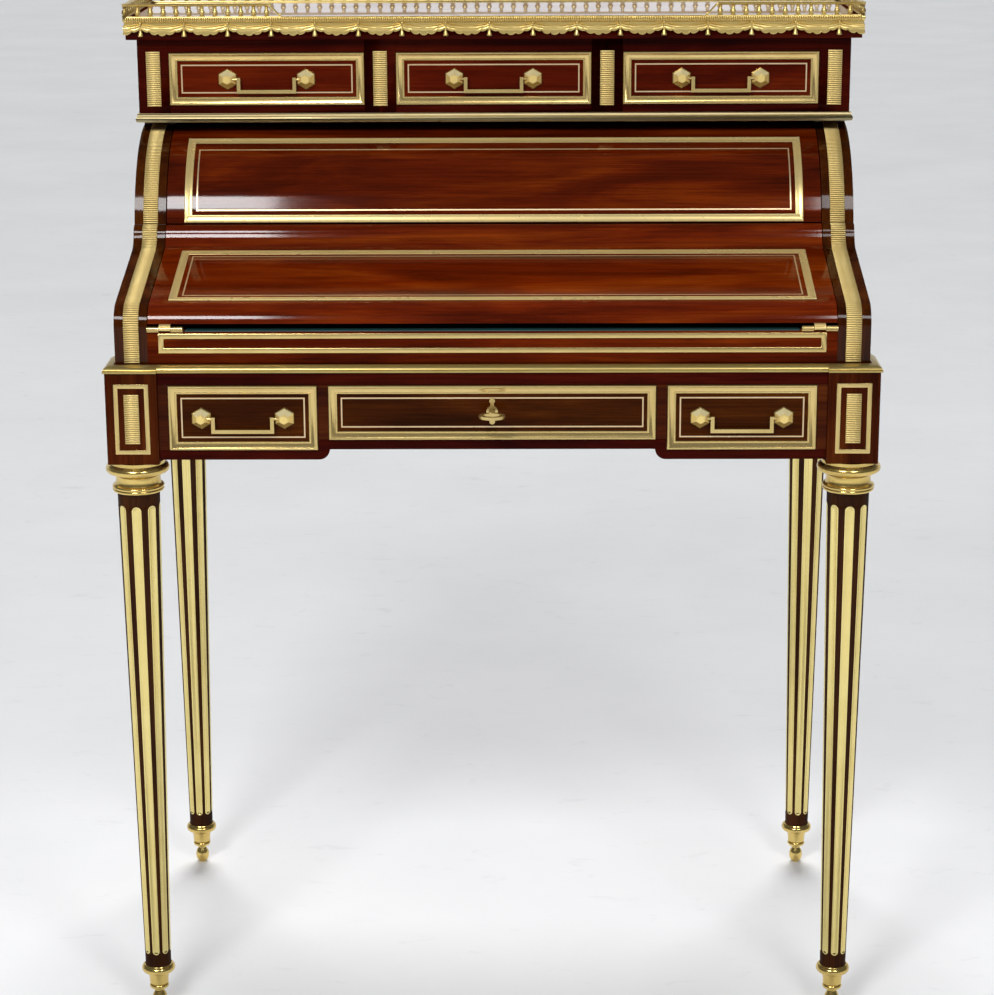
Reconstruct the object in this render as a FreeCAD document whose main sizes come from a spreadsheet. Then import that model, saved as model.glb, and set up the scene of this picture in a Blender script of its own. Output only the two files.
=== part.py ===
import FreeCAD, Part
import math
import os
import re
import Sketcher

# Cylinder desk: fluted legs, frieze with drawers, ogee flap, cylinder fall and a tier of drawers.
# Millimetres, +Z up, front towards -Y, +X to the sitter's right.
# The origin is on the floor under the middle of the desk's overall box.

doc = FreeCAD.newDocument("cylinder_desk")
sizes = doc.addObject("Spreadsheet::Sheet", "Sizes")
nodes = {}

# Driving dimensions in millimetres, degrees and counts
GIVEN = {
    # Legs
    "leg_spread": 720,            # leg axis to leg axis, across
    "leg_depth": 388,             # leg axis to leg axis, front to back
    "foot_height": 50,
    "shaft_height": 524,
    "shaft_top_radius": 21.5,
    "shaft_foot_radius": 13.5,
    "flute_count": 8,
    "flute_top_radius": 6,
    "flute_foot_radius": 4.6,
    "flute_top_depth": 2.4,
    "flute_foot_depth": 1.9,
    "flute_margin": 18,           # shaft end to the centre of a flute's round end
    "fluting_wall": 0.9,          # brass lining
    "collar_height": 32.4,
    "collar_radius": 32.5,
    "neck_radius": 23.4,
    "collar_bead_radius": 26.5,
    "collar_bead": 3.4,           # height of each small bead under the neck
    "collar_seat_radius": 28,     # flat on top, under the corner block
    "ball_radius": 8,
    "ball_height": 17.5,
    "foot_neck_radius": 5,
    "foot_ring_radius": 10.6,
    "foot_torus_radius": 18.2,
    "foot_torus_height": 9.5,
    # Frieze
    "block_size": 52,
    "block_height": 94,
    "apron_setback": 3,           # apron face behind the corner block's face
    "apron_board": 20,
    "end_stile": 10.25,
    "partition": 10.5,
    "centre_drawer_width": 327.5,
    "top_rail": 12.8,
    "low_rail": 10,
    "side_clear": 4.6,            # corner block's foot to the rail's lower edge
    "arch_rise": 10.5,            # rise of the rail's lower edge over the knees
    "arch_inset": 0.75,           # end of the arch inside the end of the centre drawer
    "runner_width": 14,
    "runner_height": 12,
    "desk_board": 7.2,
    "moulding_reach": 1.8,
    "moulding_slope": 6.2,         # lower edge to top edge, inwards
    "moulding_seat": 5,           # apron's face to the desk board's edge
    # Drawers
    "drawer_gap": 0.4,
    "drawer_lift": 0.3,           # running gap over the rail and the runners
    "drawer_face": 16,
    "drawer_side": 8,
    "drawer_floor": 5,
    "drawer_floor_rise": 4,
    "drawer_side_drop": 6,
    "frieze_drawer_room": 84,     # behind a drawer in the frieze
    "tier_drawer_room": 15,       # behind a drawer in the tier
    "drawer_bar": 8.6,            # width of the brass frame on a drawer
    "drawer_bar_rise": 3,
    # Handles
    "handle_spacing": 83,
    "rosette_radius": 11,
    "rosette_rise": 8.5,
    "boss_radius": 3.8,
    "boss_rise": 3,
    "bail_section": 3.7,
    "bail_shoulder": 12,          # rosette centre to the middle of the bail's arm
    "bail_drop": 12.8,
    "bail_rise": 5.6,             # pivot axis in front of the drawer's face
    "bail_pin_radius": 1.5,
    "bail_pin_gap": 0.12,
    # Lock and key
    "key_rise": 1.2,              # keyhole over the middle of the drawer
    "keyhole_radius": 2.9,
    "key_radius": 2.5,
    "key_shank": 12,              # drawer's face to the bow
    "bow_width": 26,
    "bow_length": 22,
    "bow_bar": 4.2,
    "bow_thickness": 3,
    "bit_length": 8,
    "bit_height": 3,
    "escutcheon_radius": 5.8,
    "escutcheon_rise": 1.6,
    "escutcheon_half": 10.5,      # keyhole to the centre of an end knob
    "escutcheon_knob": 2.8,
    "escutcheon_bar": 3.6,
    "lock_width": 44,
    "lock_height": 36,
    "lock_depth": 11,
    "lock_wall": 2,
    "bolt_width": 14,
    "bolt_depth": 3,
    "bolt_height": 12,
    "bolt_travel": 6,
    "bolt_gap": 0.3,
    # Desk case
    "case_setback": 6.5,          # case's end inside the apron's face
    "cheek_board": 33,
    "cheek_setback": 11,          # case's front behind the apron's face
    "back_setback": 5,            # case's back inside the apron's rear face
    "back_board": 8,
    "front_rail_height": 32.2,
    "front_rail_board": 20,
    "bed_board": 16,
    "bearer_width": 40,
    "leather": 1.2,
    "leather_gap": 1.5,           # leather to a hinge
    "bead_inset": 11,             # cheek to the bead's end
    "bead_low": 10.3,             # desk board to the bead's lower edge
    "bead_height": 20,
    "bead_bar": 5.3,
    "bead_rise": 1.6,
    # Ogee flap and cylinder fall
    "fall_gap": 0.75,             # fall or flap to each cheek
    "nose_radius": 24,
    "nose_rise": 35.1,            # nose's centre over the desk board
    "slope_angle": 13.5,
    "hollow_radius": 22.4,
    "lip_radius": 11.1,
    "lip_angle": 75,
    "lip_top_angle": 15,
    "seam_rise": 111.8,           # top of the flap over the desk board
    "seam_gap": 0.8,
    "lip_setback": 2.2,           # cylinder's edge behind the flap's lip
    "cylinder_rise": 86.2,        # cylinder's axis over the desk board
    "cylinder_radius": 118,
    "cylinder_board": 12,
    "cylinder_top_angle": 82,     # top edge, from the front horizontal
    "arm_board": 6,
    "arm_inset": 3,               # fall's end to the arm
    "hub_radius": 14,
    "pivot_radius": 4,
    "pivot_gap": 0.08,
    "pivot_depth": 14,
    "fall_frame_inset": 18.75,    # fall's end to its brass frame
    "fall_bar": 8,
    "fall_bar_rise": 1.5,
    "cylinder_frame_low": 0.4,    # degrees above the lower edge
    "cylinder_frame_high": 64,    # degrees from the front horizontal
    "flap_rise": 39.9,            # flap's lower edge over the desk board
    "flap_chamfer": 4,
    "flap_frame_low": 3,          # along the slope, from the nose
    "flap_frame_high": 1,         # along the slope, short of the hollow
    "hinge_reach": 2.6,           # hinge axis in front of the rail's face
    "hinge_rise": 2.1,            # hinge axis over the leather
    "hinge_length": 36,
    "knuckle_radius": 2.1,
    "knuckle_gap": 0.25,
    "hinge_pin_radius": 0.9,
    "hinge_pin_gap": 0.06,
    "hinge_leaf": 26,
    "strip_width": 15.5,
    "strip_inset": 9.25,          # cheek's outer face to the ribbed strip
    "strip_rise": 0.8,
    # Tier
    "tier_reach": 48.08,          # tier's face in front of the cylinder's axis
    "tier_clear": 5.9,            # tier's floor over the cylinder
    "tier_floor": 9.4,
    "tier_height": 78.4,
    "tier_post": 33,
    "tier_post_depth": 20,
    "tier_low_rail": 8.35,
    "tier_top_rail": 14.45,
    "tier_side_board": 16,
    "tier_divider": 12,
    "tier_moulding_reach": 3.8,
    "cheek_overlap": 36,          # cheek's top front corner behind the tier's face
    # Cornice, marble and gallery
    "cornice_side": 9.7,
    "cornice_front": 12.4,
    "cornice_height": 22.7,
    "cornice_border": 7,
    "marble": 10,
    "marble_gap": 0.2,
    "drapery": 3.6,
    "drapery_top": 0,             # above the cornice
    "drapery_band": 12,
    "swag_period": 45.5,
    "swag_sag": 6.5,
    "tassel_width": 5,
    "tassel_drop": 20,
    "gallery_height": 14.7,
    "gallery_inset": 0,           # cornice's edge to the gallery's centre line
    "gallery_width": 5.6,
    "gallery_base": 1.6,
    "gallery_rail": 2.6,
    "gallery_return": 150,
    "gallery_ramp": 13,
    "baluster_pitch": 13.2,
    "baluster_radius": 2,
    # Flat frames and ribbed plaques
    "block_frame_width": 35,
    "block_frame_height": 72,
    "block_frame_bar": 4.4,
    "block_plaque_height": 51,
    "plaque_width": 15,
    "tier_plaque_height": 58,
    "trim_rise": 1,
}

# Places and sizes that follow from them
DERIVED = {
    "leg_x": "leg_spread / 2",
    "front_reach": "leg_depth / 2 + block_size / 2 - apron_setback + key_shank + bow_length",
    "back_reach": "leg_depth / 2 + collar_radius",
    "centre_y": "(front_reach - back_reach) / 2",
    "leg_front_y": "centre_y - leg_depth / 2",
    "leg_back_y": "centre_y + leg_depth / 2",
    "collar_z": "foot_height + shaft_height",
    "block_z": "collar_z + collar_height",
    "apron_top": "block_z + block_height",
    "block_half": "block_size / 2",
    "block_inner_x": "leg_x - block_half",
    "apron_x": "leg_x + block_half - apron_setback",
    "apron_front_y": "leg_front_y - block_half + apron_setback",
    "apron_back_y": "leg_back_y + block_half - apron_setback",
    "apron_inner_y": "apron_front_y + apron_board",
    "apron_rear_y": "apron_back_y - apron_board",
    "rail_z": "block_z + side_clear",
    "arch_z": "rail_z + arch_rise",
    "drawer_top": "apron_top - top_rail",
    "side_drawer_low": "rail_z + low_rail",
    "centre_drawer_low": "arch_z + low_rail",
    "centre_half": "centre_drawer_width / 2",
    "arch_half": "centre_half - arch_inset",
    "side_inner_x": "centre_half + partition",
    "side_outer_x": "block_inner_x - end_stile",
    "side_drawer_width": "side_outer_x - side_inner_x",
    "side_drawer_x": "(side_outer_x + side_inner_x) / 2",
    "key_z": "(centre_drawer_low + drawer_top) / 2 + key_rise",
    "frieze_drawer_length": "apron_rear_y - apron_front_y - frieze_drawer_room",
    "lock_y": "apron_front_y + drawer_face",
    "lock_top": "drawer_top - drawer_gap",
    "bolt_y": "lock_y + lock_depth - lock_wall - bolt_depth - bolt_gap",
    "desk_top": "apron_top + desk_board",
    "cheek_outer": "apron_x - case_setback",
    "cheek_inner": "cheek_outer - cheek_board",
    "fall_half": "cheek_inner - fall_gap",
    "fall_frame_half": "fall_half - fall_frame_inset",
    "bead_half_width": "cheek_inner - bead_inset",
    "leather_half": "cheek_inner - hinge_length - leather_gap",
    "cheek_front_y": "apron_front_y + cheek_setback",
    "case_back_y": "apron_back_y - back_setback",
    "cheek_back_y": "case_back_y - back_board",
    "front_rail_top": "desk_top + front_rail_height",
    "leather_top": "front_rail_top + leather",
    "hinge_y": "cheek_front_y - hinge_reach",
    "hinge_z": "leather_top + hinge_rise",
    "nose_y": "cheek_front_y + nose_radius",
    "nose_z": "desk_top + nose_rise",
    "seam_z": "desk_top + seam_rise",
    "cylinder_z": "desk_top + cylinder_rise",
    "flap_low": "desk_top + flap_rise",
    "slope_low_y": "nose_y - nose_radius * sin(slope_angle)",
    "slope_low_z": "nose_z + nose_radius * cos(slope_angle)",
    "hollow_rise": "hollow_radius * (cos(slope_angle) - cos(lip_angle))",
    "lip_rise": "lip_radius * (cos(lip_top_angle) - cos(lip_angle))",
    "slope_high_z": "seam_z - hollow_rise - lip_rise",
    "slope_high_y": "slope_low_y + (slope_high_z - slope_low_z) / tan(slope_angle)",
    "hollow_y": "slope_high_y + hollow_radius * (sin(lip_angle) - sin(slope_angle))",
    "hollow_z": "slope_high_z + hollow_rise",
    "lip_y": "hollow_y + lip_radius * (sin(lip_angle) - sin(lip_top_angle))",
    "flap_front_y": "nose_y - sqrt(nose_radius ^ 2 - (flap_low - nose_z) ^ 2)",
    "flap_inner_rise": "(hinge_rise + leather) / cos(slope_angle)",
    "flap_inner_y": "flap_front_y + flap_chamfer",
    "flap_inner_front_z": "hinge_z + flap_inner_rise + (flap_inner_y - hinge_y) * tan(slope_angle)",
    "flap_inner_back_z": "hinge_z + flap_inner_rise + (lip_y - hinge_y) * tan(slope_angle)",
    "cylinder_edge_y": "lip_y + lip_setback",
    "cylinder_y": "cylinder_edge_y + sqrt(cylinder_radius ^ 2 - (seam_z - cylinder_z) ^ 2)",
    "cylinder_inner": "cylinder_radius - cylinder_board",
    "cylinder_low_angle": "asin((seam_z + seam_gap - cylinder_z) / cylinder_radius) / 1deg",
    "tier_y": "cylinder_y - tier_reach",
    "tier_floor_z": "cylinder_z + cylinder_radius + tier_clear",
    "tier_drawer_length": "cheek_back_y - tier_y - tier_drawer_room",
    "cheek_top_y": "tier_y + cheek_overlap",
    "cheek_arc_z": "cylinder_z + sqrt(cylinder_radius ^ 2 - (cylinder_y - cheek_top_y) ^ 2)",
    "tier_z": "tier_floor_z + tier_floor",
    "tier_top": "tier_z + tier_height",
    "tier_drawer_low": "tier_z + tier_low_rail",
    "tier_drawer_high": "tier_top - tier_top_rail",
    "tier_drawer_width": "(2 * cheek_outer - 4 * tier_post) / 3",
    "tier_pitch": "tier_drawer_width + tier_post",
    "cornice_x": "cheek_outer + cornice_side",
    "cornice_y": "tier_y - cornice_front",
    "cornice_top": "tier_top + cornice_height",
    "gallery_x": "cornice_x - gallery_inset",
    "gallery_front_y": "cornice_y + gallery_inset",
    "gallery_back_y": "case_back_y - gallery_inset",
}


def fill_sheet():
    """Write every size into the sheet, one named cell each."""
    for row, (alias, value) in enumerate({**GIVEN, **DERIVED}.items(), 1):
        sizes.set(f"A{row}", alias)
        sizes.set(f"B{row}", str(value) if alias in GIVEN else f"={value}")
        sizes.setAlias(f"B{row}", alias)
    doc.recompute()


def num(text):
    """Value of an expression over the sheet's names."""
    return float(sizes.evalExpression(text))


def bound(text):
    """The same expression, as an object outside the sheet reads it."""
    names = r"\b(?!(?:sin|cos|tan|asin|sqrt)\b)[a-z][a-z_0-9]*\b"
    return re.sub(names, lambda match: "Sizes." + match.group(), text)


def node(label, item):
    """Register an object as a sub-part."""
    item.Label = label
    nodes[label] = item
    return item


def group(label, members):
    """Several separate solids kept as one sub-part."""
    bundle = doc.addObject("Part::Compound", label)
    bundle.Links = members
    return node(label, bundle)


def feature(name, shape, base=(0, 0, 0), axis=(0, 0, 1), angle=0):
    """A free-form solid, placed by a point and a turn."""
    item = doc.addObject("Part::Feature", name)
    item.Shape = shape
    turn = FreeCAD.Rotation(FreeCAD.Vector(*axis), angle)
    item.Placement = FreeCAD.Placement(FreeCAD.Vector(*base), turn)
    return item


def board(name, x, y, z):
    """A rectangular board between a low and a high expression on each axis."""
    item = doc.addObject("Part::Box", name)
    for size, place, (low, high) in (("Length", "x", x), ("Width", "y", y), ("Height", "z", z)):
        item.setExpression(size, bound(f"({high}) - ({low})"))
        item.setExpression(f"Placement.Base.{place}", bound(low))
    return item


def half(side, inner, outer):
    """Low and high of a run on the left (-1) or the right (1) of the middle."""
    return (inner, outer) if side > 0 else (f"-({outer})", f"-({inner})")


def rod(name, radius, length, base, turn=None):
    """A cylinder; turn is an axis and an angle that lay its length along another axis."""
    item = doc.addObject("Part::Cylinder", name)
    item.setExpression("Radius", bound(radius))
    item.setExpression("Height", bound(length))
    if turn:
        item.Placement.Rotation = FreeCAD.Rotation(FreeCAD.Vector(*turn[0]), turn[1])
    for place, text in zip("xyz", base):
        item.setExpression(f"Placement.Base.{place}", bound(text))
    return item


ALONG_X = ((0, 1, 0), 90)
ALONG_Y = ((1, 0, 0), -90)


def cut(name, base, *tools):
    """Base less its tools."""
    for count, tool in enumerate(tools):
        item = doc.addObject("Part::Cut", f"{name}_{count}")
        item.Base = base
        item.Tool = tool
        base = item
    return base


def fuse(name, members):
    """Several shapes joined into one solid."""
    item = doc.addObject("Part::MultiFuse", name)
    item.Shapes = members
    item.Refine = True
    return item


def arc_between(start, end, radius, turn):
    """Short arc from start to end; turn is 1 for anticlockwise and -1 for clockwise."""
    chord = end - start
    rise = math.sqrt(max(radius ** 2 - (chord.Length / 2) ** 2, 0))
    left = FreeCAD.Vector(-chord.y, chord.x, 0).normalize()
    centre = (start + end) * 0.5 + left * (rise * turn)
    first, last = (start, end) if turn > 0 else (end, start)
    angles = [math.atan2(point.y - centre.y, point.x - centre.x) for point in (first, last)]
    if angles[1] < angles[0]:
        angles[1] += 2 * math.pi
    circle = Part.Circle(centre, FreeCAD.Vector(0, 0, 1), radius)
    return Part.ArcOfCircle(circle, angles[0], angles[1])


def outline(body, role, corners):
    """Closed sketch on one of the body's planes.

    A corner is (across, up), or (across, up, radius, turn) where an arc leads to the next corner.
    """
    plane = next(item for item in body.Origin.OriginFeatures if item.Role == role)
    sketch = body.newObject("Sketcher::SketchObject", body.Name + "_outline")
    sketch.AttachmentSupport = (plane, "")
    sketch.MapMode = "FlatFace"
    points = [FreeCAD.Vector(num(corner[0]), num(corner[1]), 0) for corner in corners]
    ends = []
    for index, corner in enumerate(corners):
        start, end = points[index], points[(index + 1) % len(points)]
        if len(corner) == 2:
            edge = sketch.addGeometry(Part.LineSegment(start, end), False)
            ends.append((edge, 1, 2))
        else:
            edge = sketch.addGeometry(arc_between(start, end, num(corner[2]), corner[3]), False)
            ends.append((edge, 1, 2) if corner[3] > 0 else (edge, 2, 1))
            rule = sketch.addConstraint(Sketcher.Constraint("Radius", edge, num(corner[2])))
            sketch.setExpression(f"Constraints[{rule}]", bound(corner[2]))
    for index, corner in enumerate(corners):
        before, here = ends[index - 1], ends[index]
        sketch.addConstraint(Sketcher.Constraint("Coincident", before[0], before[2], here[0], here[1]))
        for kind, text, axis in (("DistanceX", corner[0], -2), ("DistanceY", corner[1], -1)):
            if text == "0":
                sketch.addConstraint(Sketcher.Constraint("PointOnObject", here[0], here[1], axis))
                continue
            rule = sketch.addConstraint(Sketcher.Constraint(kind, -1, 1, here[0], here[1], num(text)))
            sketch.setExpression(f"Constraints[{rule}]", bound(text))
    return sketch


def place(body, x="0", y="0", z="0"):
    """Bind a body's place to the sheet."""
    for axis, text in (("x", x), ("y", y), ("z", z)):
        body.setExpression(f"Placement.Base.{axis}", bound(text))


def padded(name, role, corners, length):
    """Body made by extruding one outline."""
    body = doc.addObject("PartDesign::Body", name)
    sketch = outline(body, role, corners)
    pad = body.newObject("PartDesign::Pad", name + "_pad")
    pad.Profile = sketch
    pad.setExpression("Length", bound(length))
    return body


def rounded(corners):
    """Give each arc's radius as an expression, from its share of the chord to the next corner."""
    result = []
    for corner, after in zip(corners, corners[1:] + corners[:1]):
        if len(corner) == 4:
            chord = f"sqrt((({after[0]}) - ({corner[0]})) ^ 2 + (({after[1]}) - ({corner[1]})) ^ 2)"
            corner = (corner[0], corner[1], f"{corner[2]} * {chord}", corner[3])
        result.append(corner)
    return result


def turned(name, corners):
    """Body made by turning one outline about the vertical axis."""
    body = doc.addObject("PartDesign::Body", name)
    sketch = outline(body, "XZ_Plane", rounded(corners))
    lathe = body.newObject("PartDesign::Revolution", name + "_turning")
    lathe.Profile = sketch
    lathe.ReferenceAxis = (sketch, ["V_Axis"])
    lathe.Angle = 360
    return body


def vector(x, y, z):
    return FreeCAD.Vector(x, y, z)


def closed(faces):
    """Solid inside a closed set of flat faces."""
    solid = Part.makeSolid(Part.makeShell(faces))
    return solid if solid.Volume > 0 else solid.reversed()


def flat_face(*points):
    return Part.Face(Part.makePolygon(list(points) + [points[0]]))


def faceted(rings):
    """Solid with flat sides through rings of equal corner count."""
    faces = [flat_face(*rings[0]), flat_face(*rings[-1])]
    for ring, after in zip(rings, rings[1:]):
        for index in range(len(ring)):
            before = index - 1
            faces.append(flat_face(ring[before], ring[index], after[index], after[before]))
    return closed(faces)


def mitred_frame(half_width, half_height, section):
    """Rectangular frame of four mitred bars, lying in XZ and rising towards -Y.

    section holds (inset, rise) corners, the inset measured from the frame's outer edge.
    """
    corners = [(-1, -1), (1, -1), (1, 1), (-1, 1)]
    rings = []
    for inset, rise in section:
        rings.append([vector(sign_x * (half_width - inset), -rise, sign_z * (half_height - inset))
                      for sign_x, sign_z in corners])
    faces = []
    for index, ring in enumerate(rings):
        before = rings[index - 1]
        for side in range(4):
            faces.append(flat_face(before[side - 1], before[side], ring[side], ring[side - 1]))
    return closed(faces)


def moulded_section(width, rise):
    """Moulded brass bar: high outer bead, hollow falling inwards and a small inner fillet."""
    return [(0, 0), (0, 0.75 * rise), (0.07 * width, rise), (0.2 * width, rise),
            (0.27 * width, 0.82 * rise), (0.5 * width, 0.5 * rise), (0.76 * width, 0.36 * rise),
            (0.8 * width, 0.46 * rise), (0.94 * width, 0.46 * rise), (width, 0.3 * rise), (width, 0)]


def flat_section(width, rise):
    """Plain bar with a slightly rounded face."""
    return [(0, 0), (0, 0.7 * rise), (0.2 * width, rise), (0.8 * width, rise),
            (width, 0.7 * rise), (width, 0)]


def perimeter_bar(start, end, outward, section, mitre_start, mitre_end):
    """Moulding along a level line, with ends that are square (0) or mitred (1).

    section holds (reach, height) corners, the reach measured outwards from the line.
    """
    along = (end - start).normalize()
    ends = []
    for point, sign in ((start, -mitre_start), (end, mitre_end)):
        ends.append([point + outward * reach + along * (sign * reach) + vector(0, 0, height)
                     for reach, height in section])
    return faceted(ends)


def make_legs():
    """Tapered shafts with round-ended pockets, each filled by a hollow brass flute."""
    height, foot, top = num("shaft_height"), num("shaft_foot_radius"), num("shaft_top_radius")
    margin, count = num("flute_margin"), int(num("flute_count"))
    ends = []
    for level, radius, depth in ((margin, num("flute_foot_radius"), num("flute_foot_depth")),
                                 (height - margin, num("flute_top_radius"), num("flute_top_depth"))):
        shaft = foot + (top - foot) * level / height
        ends.append((vector(shaft - depth, 0, level), radius, math.sqrt(depth * (2 * radius - depth))))

    def direction(low, high):
        """Unit vectors along a flute and out of it."""
        along = (high - low).normalize()
        return along, vector(along.z, 0, -along.x)

    def pocket():
        """Tapered cutter with a flat floor and round ends, lying along the shaft's slope."""
        (low, _, low_half), (high, _, high_half) = ends
        along, side = direction(low, high)
        across = vector(0, 1, 0)
        edges = []
        for centre, half_width, way in ((high, high_half, 1), (low, low_half, -1)):
            edges.append(Part.Arc(centre - across * (way * half_width), centre + along * (way * half_width),
                                  centre + across * (way * half_width)).toShape())
        for way in (-1, 1):
            edges.append(Part.makeLine(low + across * (way * low_half), high + across * (way * high_half)))
        outline_wire = Part.Wire(Part.__sortEdges__(edges))
        return Part.Face(outline_wire).extrude(side * (2 * num("flute_top_depth")))

    def hollow(wall):
        """Tapered cutter of round section, lying a wall's thickness over the pocket's floor."""
        (low, low_radius, _), (high, high_radius, _) = ends
        low, high = low + vector(low_radius + wall, 0, 0), high + vector(high_radius + wall, 0, 0)
        along, side = direction(low, high)
        diagonal = math.sqrt(0.5)
        arc_low = Part.Arc(low - along * low_radius, low + (side - along) * (low_radius * diagonal),
                           low + side * low_radius)
        arc_high = Part.Arc(high + side * high_radius, high + (side + along) * (high_radius * diagonal),
                            high + along * high_radius)
        edges = [arc_low.toShape(), Part.makeLine(low + side * low_radius, high + side * high_radius),
                 arc_high.toShape(), Part.makeLine(high + along * high_radius, low - along * low_radius)]
        return Part.Face(Part.Wire(edges)).revolve(low, along, 360)

    def around(shape):
        """Copies of one shape round the shaft, the first facing the front."""
        copies = []
        for index in range(count):
            copy = shape.copy()
            copy.rotate(vector(0, 0, 0), vector(0, 0, 1), 360 * index / count - 90)
            copies.append(copy)
        return Part.makeCompound(copies)

    shaft_shape = Part.makeCone(foot, top, height)
    lining = shaft_shape.common(pocket()).cut(hollow(num("fluting_wall")))
    linings = []
    for depth_name, y in (("front", "leg_front_y"), ("back", "leg_back_y")):
        for side_name, side in (("left", -1), ("right", 1)):
            name = f"leg_{depth_name}_{side_name}"
            shaft = doc.addObject("Part::Cone", name + "_shaft")
            shaft.setExpression("Radius1", bound("shaft_foot_radius"))
            shaft.setExpression("Radius2", bound("shaft_top_radius"))
            shaft.setExpression("Height", bound("shaft_height"))
            place(shaft, f"{side} * leg_x", y, "foot_height")
            base = (side * num("leg_x"), num(y), num("foot_height"))
            node(name, cut(name, shaft, feature(name + "_pockets", around(pocket()), base)))
            linings.append(feature(name + "_lining", around(lining), base))
    group("leg_flutings", linings)


def make_leg_brass():
    """Turned brass collars over the shafts and toupie feet under them."""
    beads = "2 * collar_bead"
    collar = [
        ("0", "0"), ("shaft_top_radius + 2", "0"),
        ("collar_bead_radius - 2", "0", "0.56", 1),
        ("collar_bead_radius - 1", "collar_bead", "0.56", 1), ("collar_bead_radius - 1.4", beads),
        ("neck_radius", f"{beads} + 1", "1.2", -1),
        ("neck_radius", "0.5 * collar_height", "0.9", -1),
        ("collar_radius - 3.5", "0.6 * collar_height", "0.58", 1),
        ("collar_radius - 1.5", "0.83 * collar_height"),
        ("collar_seat_radius", "0.9 * collar_height"),
        ("collar_seat_radius", "collar_height"), ("0", "collar_height"),
    ]
    torus = "foot_height - foot_torus_height"
    foot = [
        ("0", "0"), ("0.55 * ball_radius", "0", "0.8", 1),
        ("foot_neck_radius", "ball_height", "0.9", -1),
        ("foot_neck_radius", "ball_height + 3"), ("foot_ring_radius - 2", "ball_height + 4", "0.54", 1),
        ("foot_ring_radius - 2", "ball_height + 9"),
        ("foot_ring_radius - 0.7", "ball_height + 10", "2.5", -1),
        ("foot_ring_radius + 1", f"{torus} - 1.5"),
        ("foot_torus_radius - 4.2", torus, "0.52", 1),
        ("foot_torus_radius - 3.4", "foot_height - 0.8"),
        ("shaft_foot_radius + 0.8", "foot_height"), ("0", "foot_height"),
    ]
    for label, corners, z in (("leg_collars", collar, "collar_z"), ("leg_feet", foot, "0")):
        members = []
        for depth_name, y in (("front", "leg_front_y"), ("back", "leg_back_y")):
            for side_name, side in (("left", -1), ("right", 1)):
                body = turned(f"{label}_{depth_name}_{side_name}", corners)
                place(body, f"{side} * leg_x", y, z)
                members.append(body)
        group(label, members)


def make_frieze():
    """Corner blocks, rails, aprons, partitions and runners round the three lower drawers."""
    blocks, sides, partitions, runners = [], [], [], []
    for side in (-1, 1):
        for y in ("leg_front_y", "leg_back_y"):
            blocks.append(board(f"block_{y}_{side}", half(side, "leg_x - block_half", "leg_x + block_half"),
                                (f"{y} - block_half", f"{y} + block_half"), ("block_z", "apron_top")))
        sides.append(board(f"apron_side_{side}", half(side, "apron_x - apron_board", "apron_x"),
                           ("leg_front_y + block_half", "leg_back_y - block_half"), ("rail_z", "apron_top")))
        partitions.append(board(f"partition_{side}", half(side, "centre_half", "side_inner_x"),
                                ("apron_front_y", "apron_rear_y"), ("centre_drawer_low", "drawer_top")))
        partitions.append(board(f"stile_{side}", half(side, "side_outer_x", "block_inner_x"),
                                ("apron_front_y", "apron_rear_y"), ("side_drawer_low", "drawer_top")))
        for inner, low in (("centre_half - runner_width", "centre_drawer_low"),
                           ("side_inner_x", "side_drawer_low"),
                           ("side_outer_x - runner_width", "side_drawer_low")):
            runners.append(board(f"runner_{side}", half(side, inner, f"{inner} + runner_width"),
                                 ("apron_inner_y", "apron_rear_y"), (f"{low} - runner_height", low)))
    group("corner_blocks", blocks)
    group("apron_sides", sides)
    group("drawer_guides", partitions + runners)
    node("apron_back", board("apron_back", ("-block_inner_x", "block_inner_x"),
                             ("apron_rear_y", "apron_back_y"), ("rail_z", "apron_top")))
    rail = board("top_rail", ("-block_inner_x", "block_inner_x"), ("apron_front_y", "apron_inner_y"),
                 ("drawer_top", "apron_top"))
    mortise = board("mortise", ("-bolt_width / 2 - 1", "bolt_width / 2 + 1"),
                    ("bolt_y - 1", "bolt_y + bolt_depth + 1"), ("drawer_top", "drawer_top + bolt_travel + 1"))
    node("apron_top_rail", cut("apron_top_rail", rail, mortise))
    low_rail = padded("apron_bottom_rail", "XZ_Plane", [
        ("-block_inner_x", "rail_z"), ("-arch_half - arch_rise", "rail_z", "arch_rise", 1),
        ("-arch_half", "arch_z"), ("arch_half", "arch_z", "arch_rise", 1),
        ("arch_half + arch_rise", "rail_z"), ("block_inner_x", "rail_z"),
        ("block_inner_x", "side_drawer_low"), ("side_inner_x", "side_drawer_low"),
        ("side_inner_x", "centre_drawer_low"), ("-side_inner_x", "centre_drawer_low"),
        ("-side_inner_x", "side_drawer_low"), ("-block_inner_x", "side_drawer_low"),
    ], "apron_board")
    place(low_rail, y="apron_inner_y")
    node("apron_bottom_rail", low_rail)


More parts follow.
